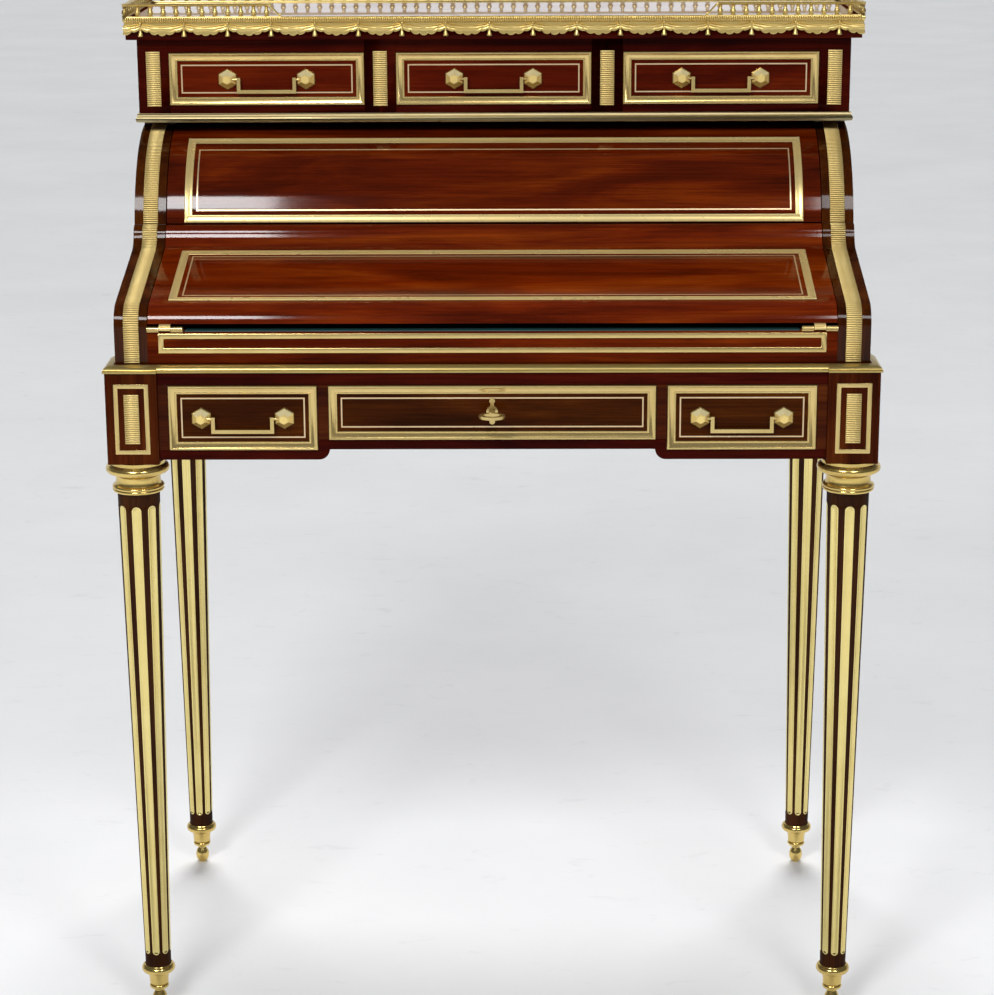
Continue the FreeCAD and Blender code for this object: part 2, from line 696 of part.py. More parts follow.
def make_desk_board():
    """Board over the frieze and the brass moulding that breaks forward round the corner blocks."""
    node("desk_board", board("desk_board", ("moulding_seat - apron_x", "apron_x - moulding_seat"),
                             ("apron_front_y + moulding_seat", "apron_back_y - moulding_seat"),
                             ("apron_top", "desk_top")))
    reach, height, seat = num("moulding_reach"), num("desk_board"), num("moulding_seat")

    def section(setback):
        """Fillet, quirk and ovolo; the top edge keeps one line where the lower edge breaks forward."""
        slope = num("moulding_slope") + 0.8 * setback
        bars = ((0, 0), (0, 0.27), (0.12, 0.32), (0.06, 0.44), (0.18, 0.68), (0.48, 0.88), (1, 1))
        inner = -seat - setback
        return ([(inner, 0)] + [(reach - share * slope, level * height) for share, level in bars]
                + [(inner, height)])

    straight, corner = section(0), section(num("apron_setback"))
    level, block = num("apron_top"), num("block_half")
    pieces = []
    for side in (-1, 1):
        for end, y in ((-1, num("leg_front_y")), (1, num("leg_back_y"))):
            x = side * num("leg_x")
            out_x, out_y = vector(side, 0, 0), vector(0, end, 0)
            tip = vector(x + side * block, y + end * block, level)
            arms = [perimeter_bar(tip - out_x * (2 * block), tip, out_y, corner, 0, 1),
                    perimeter_bar(tip - out_y * (2 * block), tip, out_x, corner, 0, 1)]
            pieces.append(arms[0].fuse(arms[1]).removeSplitter())
    inner_x, apron_x = num("block_inner_x"), num("apron_x")
    for y, out in ((num("apron_front_y"), -1), (num("apron_back_y"), 1)):
        pieces.append(perimeter_bar(vector(-inner_x, y, level), vector(inner_x, y, level), vector(0, out, 0),
                                    straight, 0, 0))
    front, back = num("leg_front_y + block_half"), num("leg_back_y - block_half")
    for side in (-1, 1):
        near, far = vector(side * apron_x, front, level), vector(side * apron_x, back, level)
        pieces.append(perimeter_bar(near, far, vector(side, 0, 0), straight, 0, 0))
    node("frieze_moulding", feature("frieze_moulding", Part.makeCompound(pieces)))


def drawer_brass(label, width, height, centre, extras):
    """Brass frame round a drawer's face, with the mounts that share it."""
    ring = mitred_frame(width / 2, height / 2, moulded_section(num("drawer_bar"), num("drawer_bar_rise")))
    node(label, feature(label, Part.makeCompound([ring] + extras), centre))


def hexagon(radius, rise):
    """Six corners, one of them upwards, in front of the drawer's face."""
    points = []
    for index in range(6):
        angle = math.radians(60 * index + 90)
        points.append(vector(radius * math.cos(angle), -rise, radius * math.sin(angle)))
    return points


def rosettes():
    """Pair of faceted rosettes, each drilled for one end of the bail."""
    radius, rise, boss = num("rosette_radius"), num("rosette_rise"), num("boss_radius")
    pin, reach = num("bail_pin_radius + bail_pin_gap"), num("bail_shoulder")
    solids = []
    for side in (-1, 1):
        body = faceted([hexagon(radius, 0), hexagon(radius, 0.3 * rise), hexagon(0.46 * radius, rise)])
        knob = Part.makeCylinder(boss, num("boss_rise + 1"), vector(0, 1 - rise, 0), vector(0, -1, 0))
        mouth = vector(-side * reach, -num("bail_rise"), 0)
        body = body.fuse(knob).cut(Part.makeCylinder(pin, reach, mouth, vector(side, 0, 0)))
        body.translate(vector(side * num("handle_spacing / 2"), 0, 0))
        solids.append(body)
    return solids


def bail():
    """Square drop handle with a pin at each end, hanging from its pivot axis."""
    section, drop = num("bail_section"), num("bail_drop")
    spread = num("handle_spacing / 2 - bail_shoulder")
    edge = section / 2
    low_corner = vector(-spread - edge, -edge, -drop - edge)
    shapes = [Part.makeBox(2 * spread + section, section, section, low_corner)]
    for side in (-1, 1):
        shapes.append(Part.makeBox(section, section, drop + section,
                                   vector(side * spread - edge, -edge, -drop - edge)))
        shapes.append(Part.makeCylinder(num("bail_pin_radius"), num("bail_shoulder - 1"),
                                        vector(side * spread, 0, 0), vector(side, 0, 0)))
    return shapes[0].multiFuse(shapes[1:]).removeSplitter()


def make_drawer(label, middle, width, low, high, front, length, keyhole=False):
    """Drawer box of five boards."""
    left, right = f"{middle} - {width} / 2 + drawer_gap", f"{middle} + {width} / 2 - drawer_gap"
    floor, top = f"{low} + drawer_lift", f"{high} - drawer_gap"
    inside = f"{front} + drawer_face"
    end = f"{front} + {length}"
    face = board(label + "_face", (left, right), (front, inside), (floor, top))
    if keyhole:
        hole = rod(label + "_keyhole", "keyhole_radius", "drawer_face + 2",
                   (middle, f"{front} - 1", "key_z"), ALONG_Y)
        face = cut(label + "_face_drilled", face, hole)
    wall = f"{top} - drawer_side_drop"
    members = [
        face,
        board(label + "_left", (left, f"{left} + drawer_side"), (inside, end), (floor, wall)),
        board(label + "_right", (f"{right} - drawer_side", right), (inside, end), (floor, wall)),
        board(label + "_back", (f"{left} + drawer_side", f"{right} - drawer_side"),
              (f"{end} - drawer_side", end), (f"{floor} + drawer_floor_rise", wall)),
        board(label + "_floor", (f"{left} + drawer_side", f"{right} - drawer_side"),
              (inside, f"{end} - drawer_side"),
              (f"{floor} + drawer_floor_rise", f"{floor} + drawer_floor_rise + drawer_floor")),
    ]
    group(label, members)


def make_handled_drawer(label, middle, width, low, high, front, length):
    """Drawer with its brass frame, rosettes and bail."""
    make_drawer(label, middle, width, low, high, front, length)
    x, y = num(middle), num(front)
    z = num(f"({low} + {high} + drawer_lift - drawer_gap) / 2")
    height = num(f"{high} - {low} - drawer_lift - drawer_gap")
    drawer_brass(label + "_brass", num(f"{width} - 2 * drawer_gap"), height, (x, y, z), rosettes())
    node(label + "_bail", feature(label + "_bail", bail(), (x, y - num("bail_rise"), z)))


def make_drawers():
    """Two handled drawers in the frieze and three in the tier."""
    for name, side in (("left", -1), ("right", 1)):
        make_handled_drawer(f"frieze_drawer_{name}", f"{side} * side_drawer_x", "side_drawer_width",
                            "side_drawer_low", "drawer_top", "apron_front_y", "frieze_drawer_length")
    for name, step in (("left", -1), ("centre", 0), ("right", 1)):
        make_handled_drawer(f"tier_drawer_{name}", f"{step} * tier_pitch", "tier_drawer_width",
                            "tier_drawer_low", "tier_drawer_high", "tier_y", "tier_drawer_length")


def make_centre_drawer():
    """Locked middle drawer of the frieze with its lock and key."""
    make_drawer("frieze_drawer_centre", "0", "centre_drawer_width", "centre_drawer_low", "drawer_top",
                "apron_front_y", "frieze_drawer_length", keyhole=True)
    rise, reach, bar = num("escutcheon_rise"), num("escutcheon_half"), num("escutcheon_bar")

    def disc(name, z):
        return Part.makeCylinder(num(name), rise, vector(0, 0, z), vector(0, -1, 0))

    stem = Part.makeBox(bar, rise, 2 * reach, vector(-bar / 2, -rise, -reach))
    knobs = [disc("escutcheon_knob", side * reach) for side in (-1, 1)]
    plate = disc("escutcheon_radius", 0).multiFuse(knobs + [stem]).cut(disc("keyhole_radius", 0))
    plate = plate.removeSplitter()
    middle = num("(centre_drawer_low + drawer_top + drawer_lift - drawer_gap) / 2")
    plate.translate(vector(0, 0, num("key_z") - middle))
    drawer_brass("frieze_drawer_centre_brass", num("centre_drawer_width - 2 * drawer_gap"),
                 num("drawer_top - centre_drawer_low - drawer_lift - drawer_gap"),
                 (0, num("apron_front_y"), middle), [plate])

    wall, gap = "lock_wall", "bolt_gap"
    case = board("lock_block", ("-lock_width / 2", "lock_width / 2"), ("lock_y", "lock_y + lock_depth"),
                 ("lock_top - lock_height", "lock_top"))
    hollow = board("lock_hollow", (f"-lock_width / 2 + {wall}", f"lock_width / 2 - {wall}"),
                   (f"lock_y + {wall}", f"lock_y + lock_depth - {wall}"),
                   (f"lock_top - lock_height + {wall}", f"lock_top - {wall}"))
    slot = board("lock_slot", (f"-bolt_width / 2 - {gap}", f"bolt_width / 2 + {gap}"),
                 (f"bolt_y - {gap}", f"bolt_y + bolt_depth + {gap}"),
                 (f"lock_top - 2 * {wall}", "lock_top + 1"))
    mouth = rod("lock_mouth", "keyhole_radius", f"2 * {wall}", ("0", "lock_y - 1", "key_z"), ALONG_Y)
    node("lock_case", cut("lock_case", case, hollow, slot, mouth))
    node("lock_bolt", board("lock_bolt", ("-bolt_width / 2", "bolt_width / 2"),
                            ("bolt_y", "bolt_y + bolt_depth"), ("lock_top - bolt_height", "lock_top")))

    inner = num("lock_y + lock_wall + bit_height + bolt_gap - apron_front_y")
    shank, radius = num("key_shank"), num("key_radius")
    length, width, bar = num("bow_length"), num("bow_width"), num("bow_bar")
    thick = num("bow_thickness")
    shaft = Part.makeCylinder(radius, inner + shank + bar / 2, vector(0, inner, 0), vector(0, -1, 0))
    bit_width = num("bit_height")
    bit = Part.makeBox(num("bit_length"), bit_width, radius, vector(0, inner - bit_width, -radius / 2))
    rings = []
    for trim in (0, bar):
        shape = Part.makeCylinder(1, thick, vector(0, 0, -thick / 2))
        stretch = FreeCAD.Matrix()
        stretch.scale(width / 2 - trim, length / 2 - trim, 1)
        rings.append(shape.transformGeometry(stretch))
    bow = rings[0].cut(rings[1])
    bow.translate(vector(0, -shank - length / 2, 0))
    node("key", feature("key", shaft.multiFuse([bit, bow]), (0, num("apron_front_y"), num("key_z"))))


def make_writing_bed():
    """Rail under the flap, its brass bead, the bed on its bearers and the leather."""
    rail_back = "cheek_front_y + front_rail_board"
    node("front_rail", board("front_rail", ("-cheek_inner", "cheek_inner"), ("cheek_front_y", rail_back),
                             ("desk_top", "front_rail_top")))
    bead = mitred_frame(num("bead_half_width"), num("bead_height / 2"),
                        flat_section(num("bead_bar"), num("bead_rise")))
    bead_place = (0, num("cheek_front_y"), num("desk_top + bead_low + bead_height / 2"))
    node("front_rail_bead", feature("front_rail_bead", bead, bead_place))
    bed = [board("bed_panel", ("-cheek_inner", "cheek_inner"), (rail_back, "cheek_back_y"),
                 ("front_rail_top - bed_board", "front_rail_top"))]
    for step in (-1, 0, 1):
        middle = f"{step} * (cheek_inner - bearer_width / 2)"
        bed.append(board("bed_bearer", (f"{middle} - bearer_width / 2", f"{middle} + bearer_width / 2"),
                         (rail_back, "cheek_back_y"), ("desk_top", "front_rail_top - bed_board")))
    group("writing_bed", bed)
    node("bed_leather", board("bed_leather", ("-leather_half", "leather_half"),
                              ("cheek_front_y", "cheek_back_y"), ("front_rail_top", "leather_top")))


def lower_profile():
    """Corners of the ogee from the nose to the lip, as (y, z, radius, turn)."""
    return [("slope_low_y", "slope_low_z"), ("slope_high_y", "slope_high_z", "hollow_radius", 1),
            ("hollow_y", "hollow_z", "lip_radius", -1), ("lip_y", "seam_z")]


def make_cheeks():
    """Shaped ends of the case, each in two lengths that meet at the seam."""
    for name, inner in (("left", "-cheek_outer"), ("right", "cheek_inner")):
        lower = padded(f"cheek_{name}_lower", "YZ_Plane", [
            ("cheek_front_y", "desk_top"), ("cheek_front_y", "nose_z", "nose_radius", -1)]
            + lower_profile() + [("cheek_back_y", "seam_z"), ("cheek_back_y", "desk_top")], "cheek_board")
        place(lower, inner)
        upper = padded(f"cheek_{name}_upper", "YZ_Plane", [
            ("cylinder_edge_y", "seam_z", "cylinder_radius", -1), ("cheek_top_y", "cheek_arc_z"),
            ("cheek_top_y", "tier_floor_z"), ("cheek_back_y", "tier_floor_z"), ("cheek_back_y", "seam_z")],
            "cheek_board")
        place(upper, inner)
        mouth = "-cheek_inner - pivot_depth" if name == "left" else "cheek_inner"
        bore = rod(f"cheek_{name}_bore", "pivot_radius + pivot_gap", "pivot_depth",
                   (mouth, "cylinder_y", "cylinder_z"), ALONG_X)
        group(f"cheek_{name}", [cut(f"cheek_{name}_bored", lower, bore), upper])


def lower_edges(offset):
    """Front edge of the lower cheek, moved outwards, from the desk board to the lip."""
    angles = ("slope_angle", "lip_angle", "lip_top_angle")
    slope, lip, lip_top = (math.radians(num(name)) for name in angles)
    nose, hollow, round_lip = num("nose_radius"), num("hollow_radius"), num("lip_radius")

    def at(y, z, radius, angle):
        """Point on a round stretch that climbs at an angle; a hollow has a negative radius."""
        return vector(0, y - radius * math.sin(angle), z + radius * math.cos(angle))

    def climb(y, z, radius, start, end):
        return Part.Arc(*(at(y, z, radius, angle) for angle in (start, (start + end) / 2, end))).toShape()

    nose_mid = (num("nose_y"), num("nose_z"))
    hollow_mid = (num("slope_high_y") - hollow * math.sin(slope),
                  num("slope_high_z") + hollow * math.cos(slope))
    lip_mid = (num("hollow_y") + round_lip * math.sin(lip),
               num("hollow_z") - round_lip * math.cos(lip))
    start = vector(0, num("cheek_front_y") - offset, num("desk_top"))
    arcs = [climb(*nose_mid, nose + offset, math.pi / 2, slope),
            climb(*hollow_mid, offset - hollow, slope, lip),
            climb(*lip_mid, round_lip + offset, lip, lip_top)]
    ends = [(arc.firstVertex(True).Point, arc.lastVertex(True).Point) for arc in arcs]
    return [Part.makeLine(start, ends[0][0]), arcs[0], Part.makeLine(ends[0][1], ends[1][0])] + arcs[1:]


def upper_edge(offset):
    """Front edge of the upper cheek, moved outwards, from the seam to the tier."""
    y, z, radius = num("cylinder_y"), num("cylinder_z"), num("cylinder_radius") + offset
    low = math.asin((num("seam_z") - z) / radius)
    high = math.acos((y - num("cheek_top_y")) / radius)
    points = [vector(0, y - radius * math.cos(angle), z + radius * math.sin(angle))
              for angle in (low, (low + high) / 2, high)]
    return [Part.Arc(*points).toShape()]


def make_cheek_strips():
    """Brass strips that follow the front of each cheek, broken at the seam."""
    strips = []
    for edges in (lower_edges, upper_edge):
        inner, outer = Part.Wire(edges(0)), Part.Wire(edges(num("strip_rise")))
        tips = [Part.makeLine(inner.OrderedVertexes[end].Point, outer.OrderedVertexes[end].Point)
                for end in (0, -1)]
        face = Part.Face(Part.Wire(Part.__sortEdges__(inner.Edges + tips + outer.Edges)))
        solid = face.extrude(vector(num("strip_width"), 0, 0))
        for x in (num("strip_inset - cheek_outer"), num("cheek_outer - strip_inset - strip_width")):
            copy = solid.copy()
            copy.translate(vector(x, 0, 0))
            strips.append(copy)
    node("cheek_strips", feature("cheek_strips", Part.makeCompound(strips)))


def make_cylinder_fall():
    """Quarter-round fall, its brass frame and the sector arms that it swings on."""
    def on_arc(radius, angle):
        return f"cylinder_y - {radius} * cos({angle})", f"cylinder_z + {radius} * sin({angle})"

    panel = padded("cylinder_panel", "YZ_Plane", [
        on_arc("cylinder_radius", "cylinder_low_angle") + ("cylinder_radius", -1),
        on_arc("cylinder_radius", "cylinder_top_angle"),
        on_arc("cylinder_inner", "cylinder_top_angle") + ("cylinder_inner", 1),
        on_arc("cylinder_inner", "cylinder_low_angle")], "2 * fall_half")
    place(panel, "-fall_half")
    node("cylinder_panel", panel)

    arms = []
    for name, side in (("left", -1), ("right", 1)):
        low, high = half(side, "fall_half - arm_inset - arm_board", "fall_half - arm_inset")
        hub = rod(f"arm_{name}_hub", "hub_radius", "arm_board", (low, "cylinder_y", "cylinder_z"), ALONG_X)
        sector = rod(f"arm_{name}_sector", "cylinder_inner", "arm_board",
                     (low, "cylinder_y", "cylinder_z"))
        sector.setExpression("Angle", bound("cylinder_top_angle - cylinder_low_angle"))
        lie = FreeCAD.Rotation(vector(0, 1, 0), 90)
        turn = FreeCAD.Rotation(vector(1, 0, 0), 180 - num("cylinder_top_angle"))
        quarter = FreeCAD.Rotation(vector(0, 0, 1), 90)
        sector.Placement.Rotation = turn * lie * quarter
        start = low if side > 0 else "-cheek_inner - pivot_depth + 1"
        pin = rod(f"arm_{name}_pin", "pivot_radius", "arm_inset + arm_board + fall_gap + pivot_depth - 1",
                  (start, "cylinder_y", "cylinder_z"), ALONG_X)
        arms.append(fuse(f"arm_{name}", [sector, hub, pin]))
    group("cylinder_arms", arms)

    radius, bar, rise = num("cylinder_radius"), num("fall_bar"), num("fall_bar_rise")
    half_width, axis = num("fall_frame_half"), vector(0, num("cylinder_y"), num("cylinder_z"))
    low_angle = num("cylinder_low_angle + cylinder_frame_low")
    high_angle = num("cylinder_frame_high")
    section = moulded_section(bar, rise)
    solids = []
    for side in (-1, 1):
        points = [axis + vector(side * (half_width - inset), -radius - lift, 0) for inset, lift in section]
        ring = flat_face(*points)
        ring.rotate(axis, vector(1, 0, 0), -low_angle)
        solids.append(ring.revolve(axis, vector(1, 0, 0), low_angle - high_angle))
    for angle, sign in ((low_angle, 1), (high_angle, -1)):
        points = [axis + vector(-half_width, -radius - lift, sign * inset) for inset, lift in section]
        edge = flat_face(*points).extrude(vector(2 * half_width, 0, 0))
        edge.rotate(axis, vector(1, 0, 0), -angle)
        solids.append(edge)
    skin = Part.makeCylinder(radius, 4 * half_width, axis - vector(2 * half_width, 0, 0), vector(1, 0, 0))
    frame = solids[0].multiFuse(solids[1:]).cut(skin).removeSplitter()
    node("cylinder_frame", feature("cylinder_frame", frame))


def make_flap():
    """Ogee flap with its brass frame, hinges and leather lining."""
    flap = padded("flap_board", "YZ_Plane", [
        ("flap_front_y", "flap_low", "nose_radius", -1)] + lower_profile() + [
        ("lip_y", "flap_inner_back_z"), ("flap_inner_y", "flap_inner_front_z")], "2 * fall_half")
    place(flap, "-fall_half")
    node("flap_board", flap)

    slope = num("slope_angle")
    run = num("sqrt((slope_high_y - slope_low_y) ^ 2 + (slope_high_z - slope_low_z) ^ 2)")
    low, high = num("flap_frame_low"), run - num("flap_frame_high")
    ring = mitred_frame(num("fall_frame_half"), (high - low) / 2,
                        moulded_section(num("fall_bar"), num("fall_bar_rise")))
    ring.translate(vector(0, 0, (high + low) / 2))
    ring.rotate(vector(0, 0, 0), vector(1, 0, 0), slope - 90)
    ring.translate(vector(0, num("slope_low_y"), num("slope_low_z")))

    hinge = vector(0, num("hinge_y"), num("hinge_z"))
    rise, thick, reach = num("hinge_rise"), num("leather"), num("hinge_leaf")
    knuckle, gap = num("knuckle_radius"), num("knuckle_gap")
    length = num("hinge_length")
    third = length / 3
    pin = num("hinge_pin_radius")
    fixed, moving = [], []
    for side in (-1, 1):
        start = num("cheek_inner") - length if side > 0 else -num("cheek_inner")
        base = hinge + vector(start, 0, 0)
        middle = base + vector(third + gap, 0, 0)
        width = third - 2 * gap
        leaf = Part.makeBox(width, reach, thick, vector(0, 0, rise))
        web = Part.makeBox(width, knuckle, rise + thick, vector(0, 0, 0))
        barrel = Part.makeCylinder(knuckle, width, vector(0, 0, 0), vector(1, 0, 0))
        bore = Part.makeCylinder(pin + num("hinge_pin_gap"), width, vector(0, 0, 0), vector(1, 0, 0))
        solid = leaf.multiFuse([web, barrel]).cut(bore)
        solid.rotate(vector(0, 0, 0), vector(1, 0, 0), slope)
        solid.translate(middle)
        moving.append(solid.removeSplitter())
        plate_low = num("front_rail_top")
        plate = Part.makeBox(length, reach, thick, vector(start, num("cheek_front_y"), plate_low))
        notch_place = vector(start + third, num("cheek_front_y") - knuckle, plate_low - thick)
        notch = Part.makeBox(third, 3 * knuckle, 3 * thick, notch_place)
        parts = [Part.makeCylinder(pin, length - 2 * gap, base + vector(gap, 0, 0), vector(1, 0, 0))]
        for offset in (gap, 2 * third):
            parts.append(Part.makeCylinder(knuckle, third - gap, base + vector(offset, 0, 0),
                                           vector(1, 0, 0)))
            parts.append(Part.makeBox(third - gap, num("hinge_reach") + knuckle, rise + thick,
                                      vector(start + offset, num("hinge_y"), plate_low)))
        fixed.append(plate.cut(notch).multiFuse(parts).removeSplitter())
    node("hinge_plates", feature("hinge_plates", Part.makeCompound(fixed)))
    node("flap_brass", feature("flap_brass", Part.makeCompound([ring] + moving)))

    span = num("(lip_y - hinge_y) / cos(slope_angle)") - 2 * num("flap_chamfer")
    lining = Part.makeBox(2 * num("leather_half"), span - num("flap_chamfer"), thick,
                          vector(-num("leather_half"), 2 * num("flap_chamfer"), rise))
    node("flap_leather", feature("flap_leather", lining, hinge, (1, 0, 0), slope))


def make_tier():
    """Case of the three upper drawers."""
    front_back = "tier_y + tier_post_depth"
    node("tier_floor", board("tier_floor", ("-cheek_outer", "cheek_outer"), ("tier_y", "cheek_back_y"),
                             ("tier_floor_z", "tier_z")))
    frame, partitions = [], []
    for step in (-1.5, -0.5, 0.5, 1.5):
        middle = f"{step} * tier_pitch"
        frame.append(board("tier_post", (f"{middle} - tier_post / 2", f"{middle} + tier_post / 2"),
                           ("tier_y", front_back), ("tier_z", "tier_top")))
        if abs(step) < 1:
            ends = (f"{middle} - tier_divider / 2", f"{middle} + tier_divider / 2")
            partitions.append(board("tier_divider", ends, (front_back, "cheek_back_y"),
                                    ("tier_z", "tier_top")))
    for step in (-1, 0, 1):
        middle = f"{step} * tier_pitch"
        ends = (f"{middle} - tier_drawer_width / 2", f"{middle} + tier_drawer_width / 2")
        frame.append(board("tier_top_rail", ends, ("tier_y", front_back), ("tier_drawer_high", "tier_top")))
        frame.append(board("tier_dust_board", ends, ("tier_y", "cheek_back_y"),
                           ("tier_z", "tier_drawer_low")))
    for side in (-1, 1):
        partitions.append(board("tier_side", half(side, "cheek_outer - tier_side_board", "cheek_outer"),
                                (front_back, "cheek_back_y"), ("tier_z", "tier_top")))
    group("tier_front_frame", frame)
    group("tier_partitions", partitions)
    node("back_panel", board("back_panel", ("-cheek_outer", "cheek_outer"), ("cheek_back_y", "case_back_y"),
                             ("desk_top", "tier_top")))
    reach, height = num("tier_moulding_reach"), num("tier_floor")
    section = [(0, 0), (0.5 * reach, 0), (0.86 * reach, 0.1 * height), (reach, 0.33 * height),
               (0.86 * reach, 0.56 * height), (0.5 * reach, 0.66 * height), (0.6 * reach, 0.74 * height),
               (0.6 * reach, 0.94 * height), (0.4 * reach, height), (0, height)]
    x, front, back, z = (num(name) for name in ("cheek_outer", "tier_y", "case_back_y", "tier_floor_z"))
    bars = [perimeter_bar(vector(-x, front, z), vector(x, front, z), vector(0, -1, 0), section, 1, 1)]
    for side in (-1, 1):
        bars.append(perimeter_bar(vector(side * x, back, z), vector(side * x, front, z), vector(side, 0, 0),
                                  section, 0, 1))
    node("tier_moulding", feature("tier_moulding", Part.makeCompound(bars)))


def make_top():
    """Cornice, marble, swagged mount and pierced gallery."""
    x, front, back, top = (num(name) for name in ("cornice_x", "cornice_y", "case_back_y", "cornice_top"))
    bed = "cornice_top - marble"
    whole = ("-cornice_x", "cornice_x")
    pieces = [board("cornice_board", whole, ("cornice_y", "case_back_y"), ("tier_top", bed))]
    for low, high in (("cornice_y", "cornice_y + cornice_border"),
                      ("case_back_y - cornice_border", "case_back_y")):
        pieces.append(board("cornice_border", whole, (low, high), (bed, "cornice_top")))
    for side in (-1, 1):
        pieces.append(board("cornice_end", half(side, "cornice_x - cornice_border", "cornice_x"),
                            ("cornice_y + cornice_border", "case_back_y - cornice_border"),
                            (bed, "cornice_top")))
    group("cornice", pieces)
    inset = "(cornice_border + marble_gap)"
    node("marble_top", board("marble_top", (f"-cornice_x + {inset}", f"cornice_x - {inset}"),
                             (f"cornice_y + {inset}", f"case_back_y - {inset}"),
                             (bed, "cornice_top")))
    make_drapery(x, front, back, top)
    make_gallery(top)


def make_drapery(x, front, back, top):
    """Brass mount with swags between tassels, on the front and both sides of the cornice."""
    thick, band, period = num("drapery"), num("drapery_band"), num("swag_period")
    rise, sag, tassel = num("drapery_top"), num("swag_sag"), num("tassel_width") / 2
    drop = num("tassel_drop") - rise

    def strip(length, first):
        """Flat mount in XZ; tassels hang every period from the first one."""
        tassels = []
        place_x = first
        while place_x < length - tassel:
            tassels.append(place_x)
            place_x += period
        edges = [vector(length, 0, rise), vector(0, 0, rise)]
        shape = [Part.makeLine(*edges)]
        last = edges[1]
        level = rise - band

        def line_to(point):
            nonlocal last
            if (point - last).Length > 0.001:
                shape.append(Part.makeLine(last, point))
            last = point

        def swag_to(end_x, end_level, mid_level):
            nonlocal last
            end = vector(end_x, 0, end_level)
            middle = vector((last.x + end_x) / 2, 0, mid_level)
            shape.append(Part.Arc(last, middle, end).toShape())
            last = end

        line_to(vector(0, 0, level - (0 if first < period / 4 else sag)))
        for hang in tassels:
            if hang - tassel > last.x + 0.01:
                whole = hang - tassel - last.x > 0.6 * period
                swag_to(hang - tassel, level, level - sag if whole else level - 0.75 * sag)
            if hang - tassel < 0:
                line_to(vector(0, 0, -drop))
            else:
                line_to(vector(hang - tassel, 0, level))
                line_to(vector(hang - tassel, 0, -drop))
            line_to(vector(hang + tassel, 0, -drop))
            line_to(vector(hang + tassel, 0, level))
        whole = length - last.x > 0.6 * period
        swag_to(length, level if whole else level - sag, level - sag if whole else level - 0.75 * sag)
        line_to(edges[0])
        return Part.Face(Part.Wire(shape)).extrude(vector(0, -thick, 0))

    width = 2 * x
    count = int(round(width / period))
    pieces = [strip(width, (width - (count - 1) * period) / 2)]
    pieces[0].translate(vector(-x, front, top))
    depth = back - front + thick
    for side in (-1, 1):
        piece = strip(depth, period / 2)
        piece.rotate(vector(0, 0, 0), vector(0, 0, 1), 90 * side)
        start = front - thick if side > 0 else back
        piece.translate(vector(side * x, start, top))
        pieces.append(piece)
    node("drapery_mount", feature("drapery_mount", Part.makeCompound(pieces)))


def make_gallery(top):
    """Gallery of small balusters: back, sides and front returns that ramp down."""
    width, base, rail = num("gallery_width"), num("gallery_base"), num("gallery_rail")
    height, ramp, radius = num("gallery_height"), num("gallery_ramp"), num("baluster_radius")
    stem = height - base - rail

    def ring(level, size):
        """Six corners round the baluster's axis."""
        turns = [math.radians(60 * step) for step in range(6)]
        return [vector(size * math.cos(turn), size * math.sin(turn), level) for turn in turns]

    baluster = faceted([ring(base, 0.5 * radius), ring(base + 0.35 * stem, radius),
                        ring(base + 0.75 * stem, 0.42 * radius), ring(base + stem, 0.8 * radius)])

    def run(length, ramped):
        """One length along X from its start, with a ramped far end where it stops short."""
        reach = ramp if ramped else 0
        parts = [Part.makeBox(length + reach, width, base, vector(0, -width / 2, 0)),
                 Part.makeBox(length, width, rail, vector(0, -width / 2, height - rail))]
        if ramped:
            corners = [vector(length, 0, height), vector(length + reach, 0, base),
                       vector(length + reach - rail, 0, base), vector(length - rail, 0, height - rail),
                       vector(length - rail, 0, height)]
            slope = flat_face(*corners).extrude(vector(0, width, 0))
            slope.translate(vector(0, -width / 2, 0))
            parts.append(slope)
        count = max(int(round(length / num("baluster_pitch"))), 1)
        for index in range(count):
            copy = baluster.copy()
            copy.translate(vector((index + 0.5) * length / count, 0, 0))
            parts.append(copy)
        return parts[0].multiFuse(parts[1:]).removeSplitter()

    x, front, back = num("gallery_x"), num("gallery_front_y"), num("gallery_back_y")
    edge = width / 2
    runs = []
    for length, ramped, turn, start in (
            (2 * x + width, False, 0, (-x - edge, back)),
            (back - front, False, 90, (-x, front - edge)),
            (back - front, False, 90, (x, front - edge)),
            (num("gallery_return"), True, 0, (-x + edge, front)),
            (num("gallery_return"), True, 180, (x - edge, front))):
        piece = run(length, ramped)
        piece.rotate(vector(0, 0, 0), vector(0, 0, 1), turn)
        piece.translate(vector(*start, top))
        runs.append(piece)
    node("gallery", feature("gallery", Part.makeCompound(runs)))


def make_plaques():
    """Flat frames and ribbed plaques on the corner blocks and the tier's posts."""
    rise = num("trim_rise")
    frame = mitred_frame(num("block_frame_width / 2"), num("block_frame_height / 2"),
                         flat_section(num("block_frame_bar"), rise))

    def plaque(height):
        width = num("plaque_width")
        return Part.makeBox(width, rise, height, vector(-width / 2, -rise, -height / 2))

    frames, plaques = [], []
    z = num("block_z + block_height / 2")
    for side in (-1, 1):
        faces = [(vector(side * num("leg_x"), num("leg_front_y - block_half"), z), 0)]
        for y in ("leg_front_y", "leg_back_y"):
            faces.append((vector(side * num("leg_x + block_half"), num(y), z), 90 * side))
        for point, turn in faces:
            for shape, target in ((frame, frames), (plaque(num("block_plaque_height")), plaques)):
                copy = shape.copy()
                copy.rotate(vector(0, 0, 0), vector(0, 0, 1), turn)
                copy.translate(point)
                target.append(copy)
    for step in (-1.5, -0.5, 0.5, 1.5):
        copy = plaque(num("tier_plaque_height"))
        level = num("(tier_drawer_low + tier_drawer_high) / 2")
        copy.translate(vector(step * num("tier_pitch"), num("tier_y"), level))
        plaques.append(copy)
    node("block_frames", feature("block_frames", Part.makeCompound(frames)))
    node("ribbed_plaques", feature("ribbed_plaques", Part.makeCompound(plaques)))


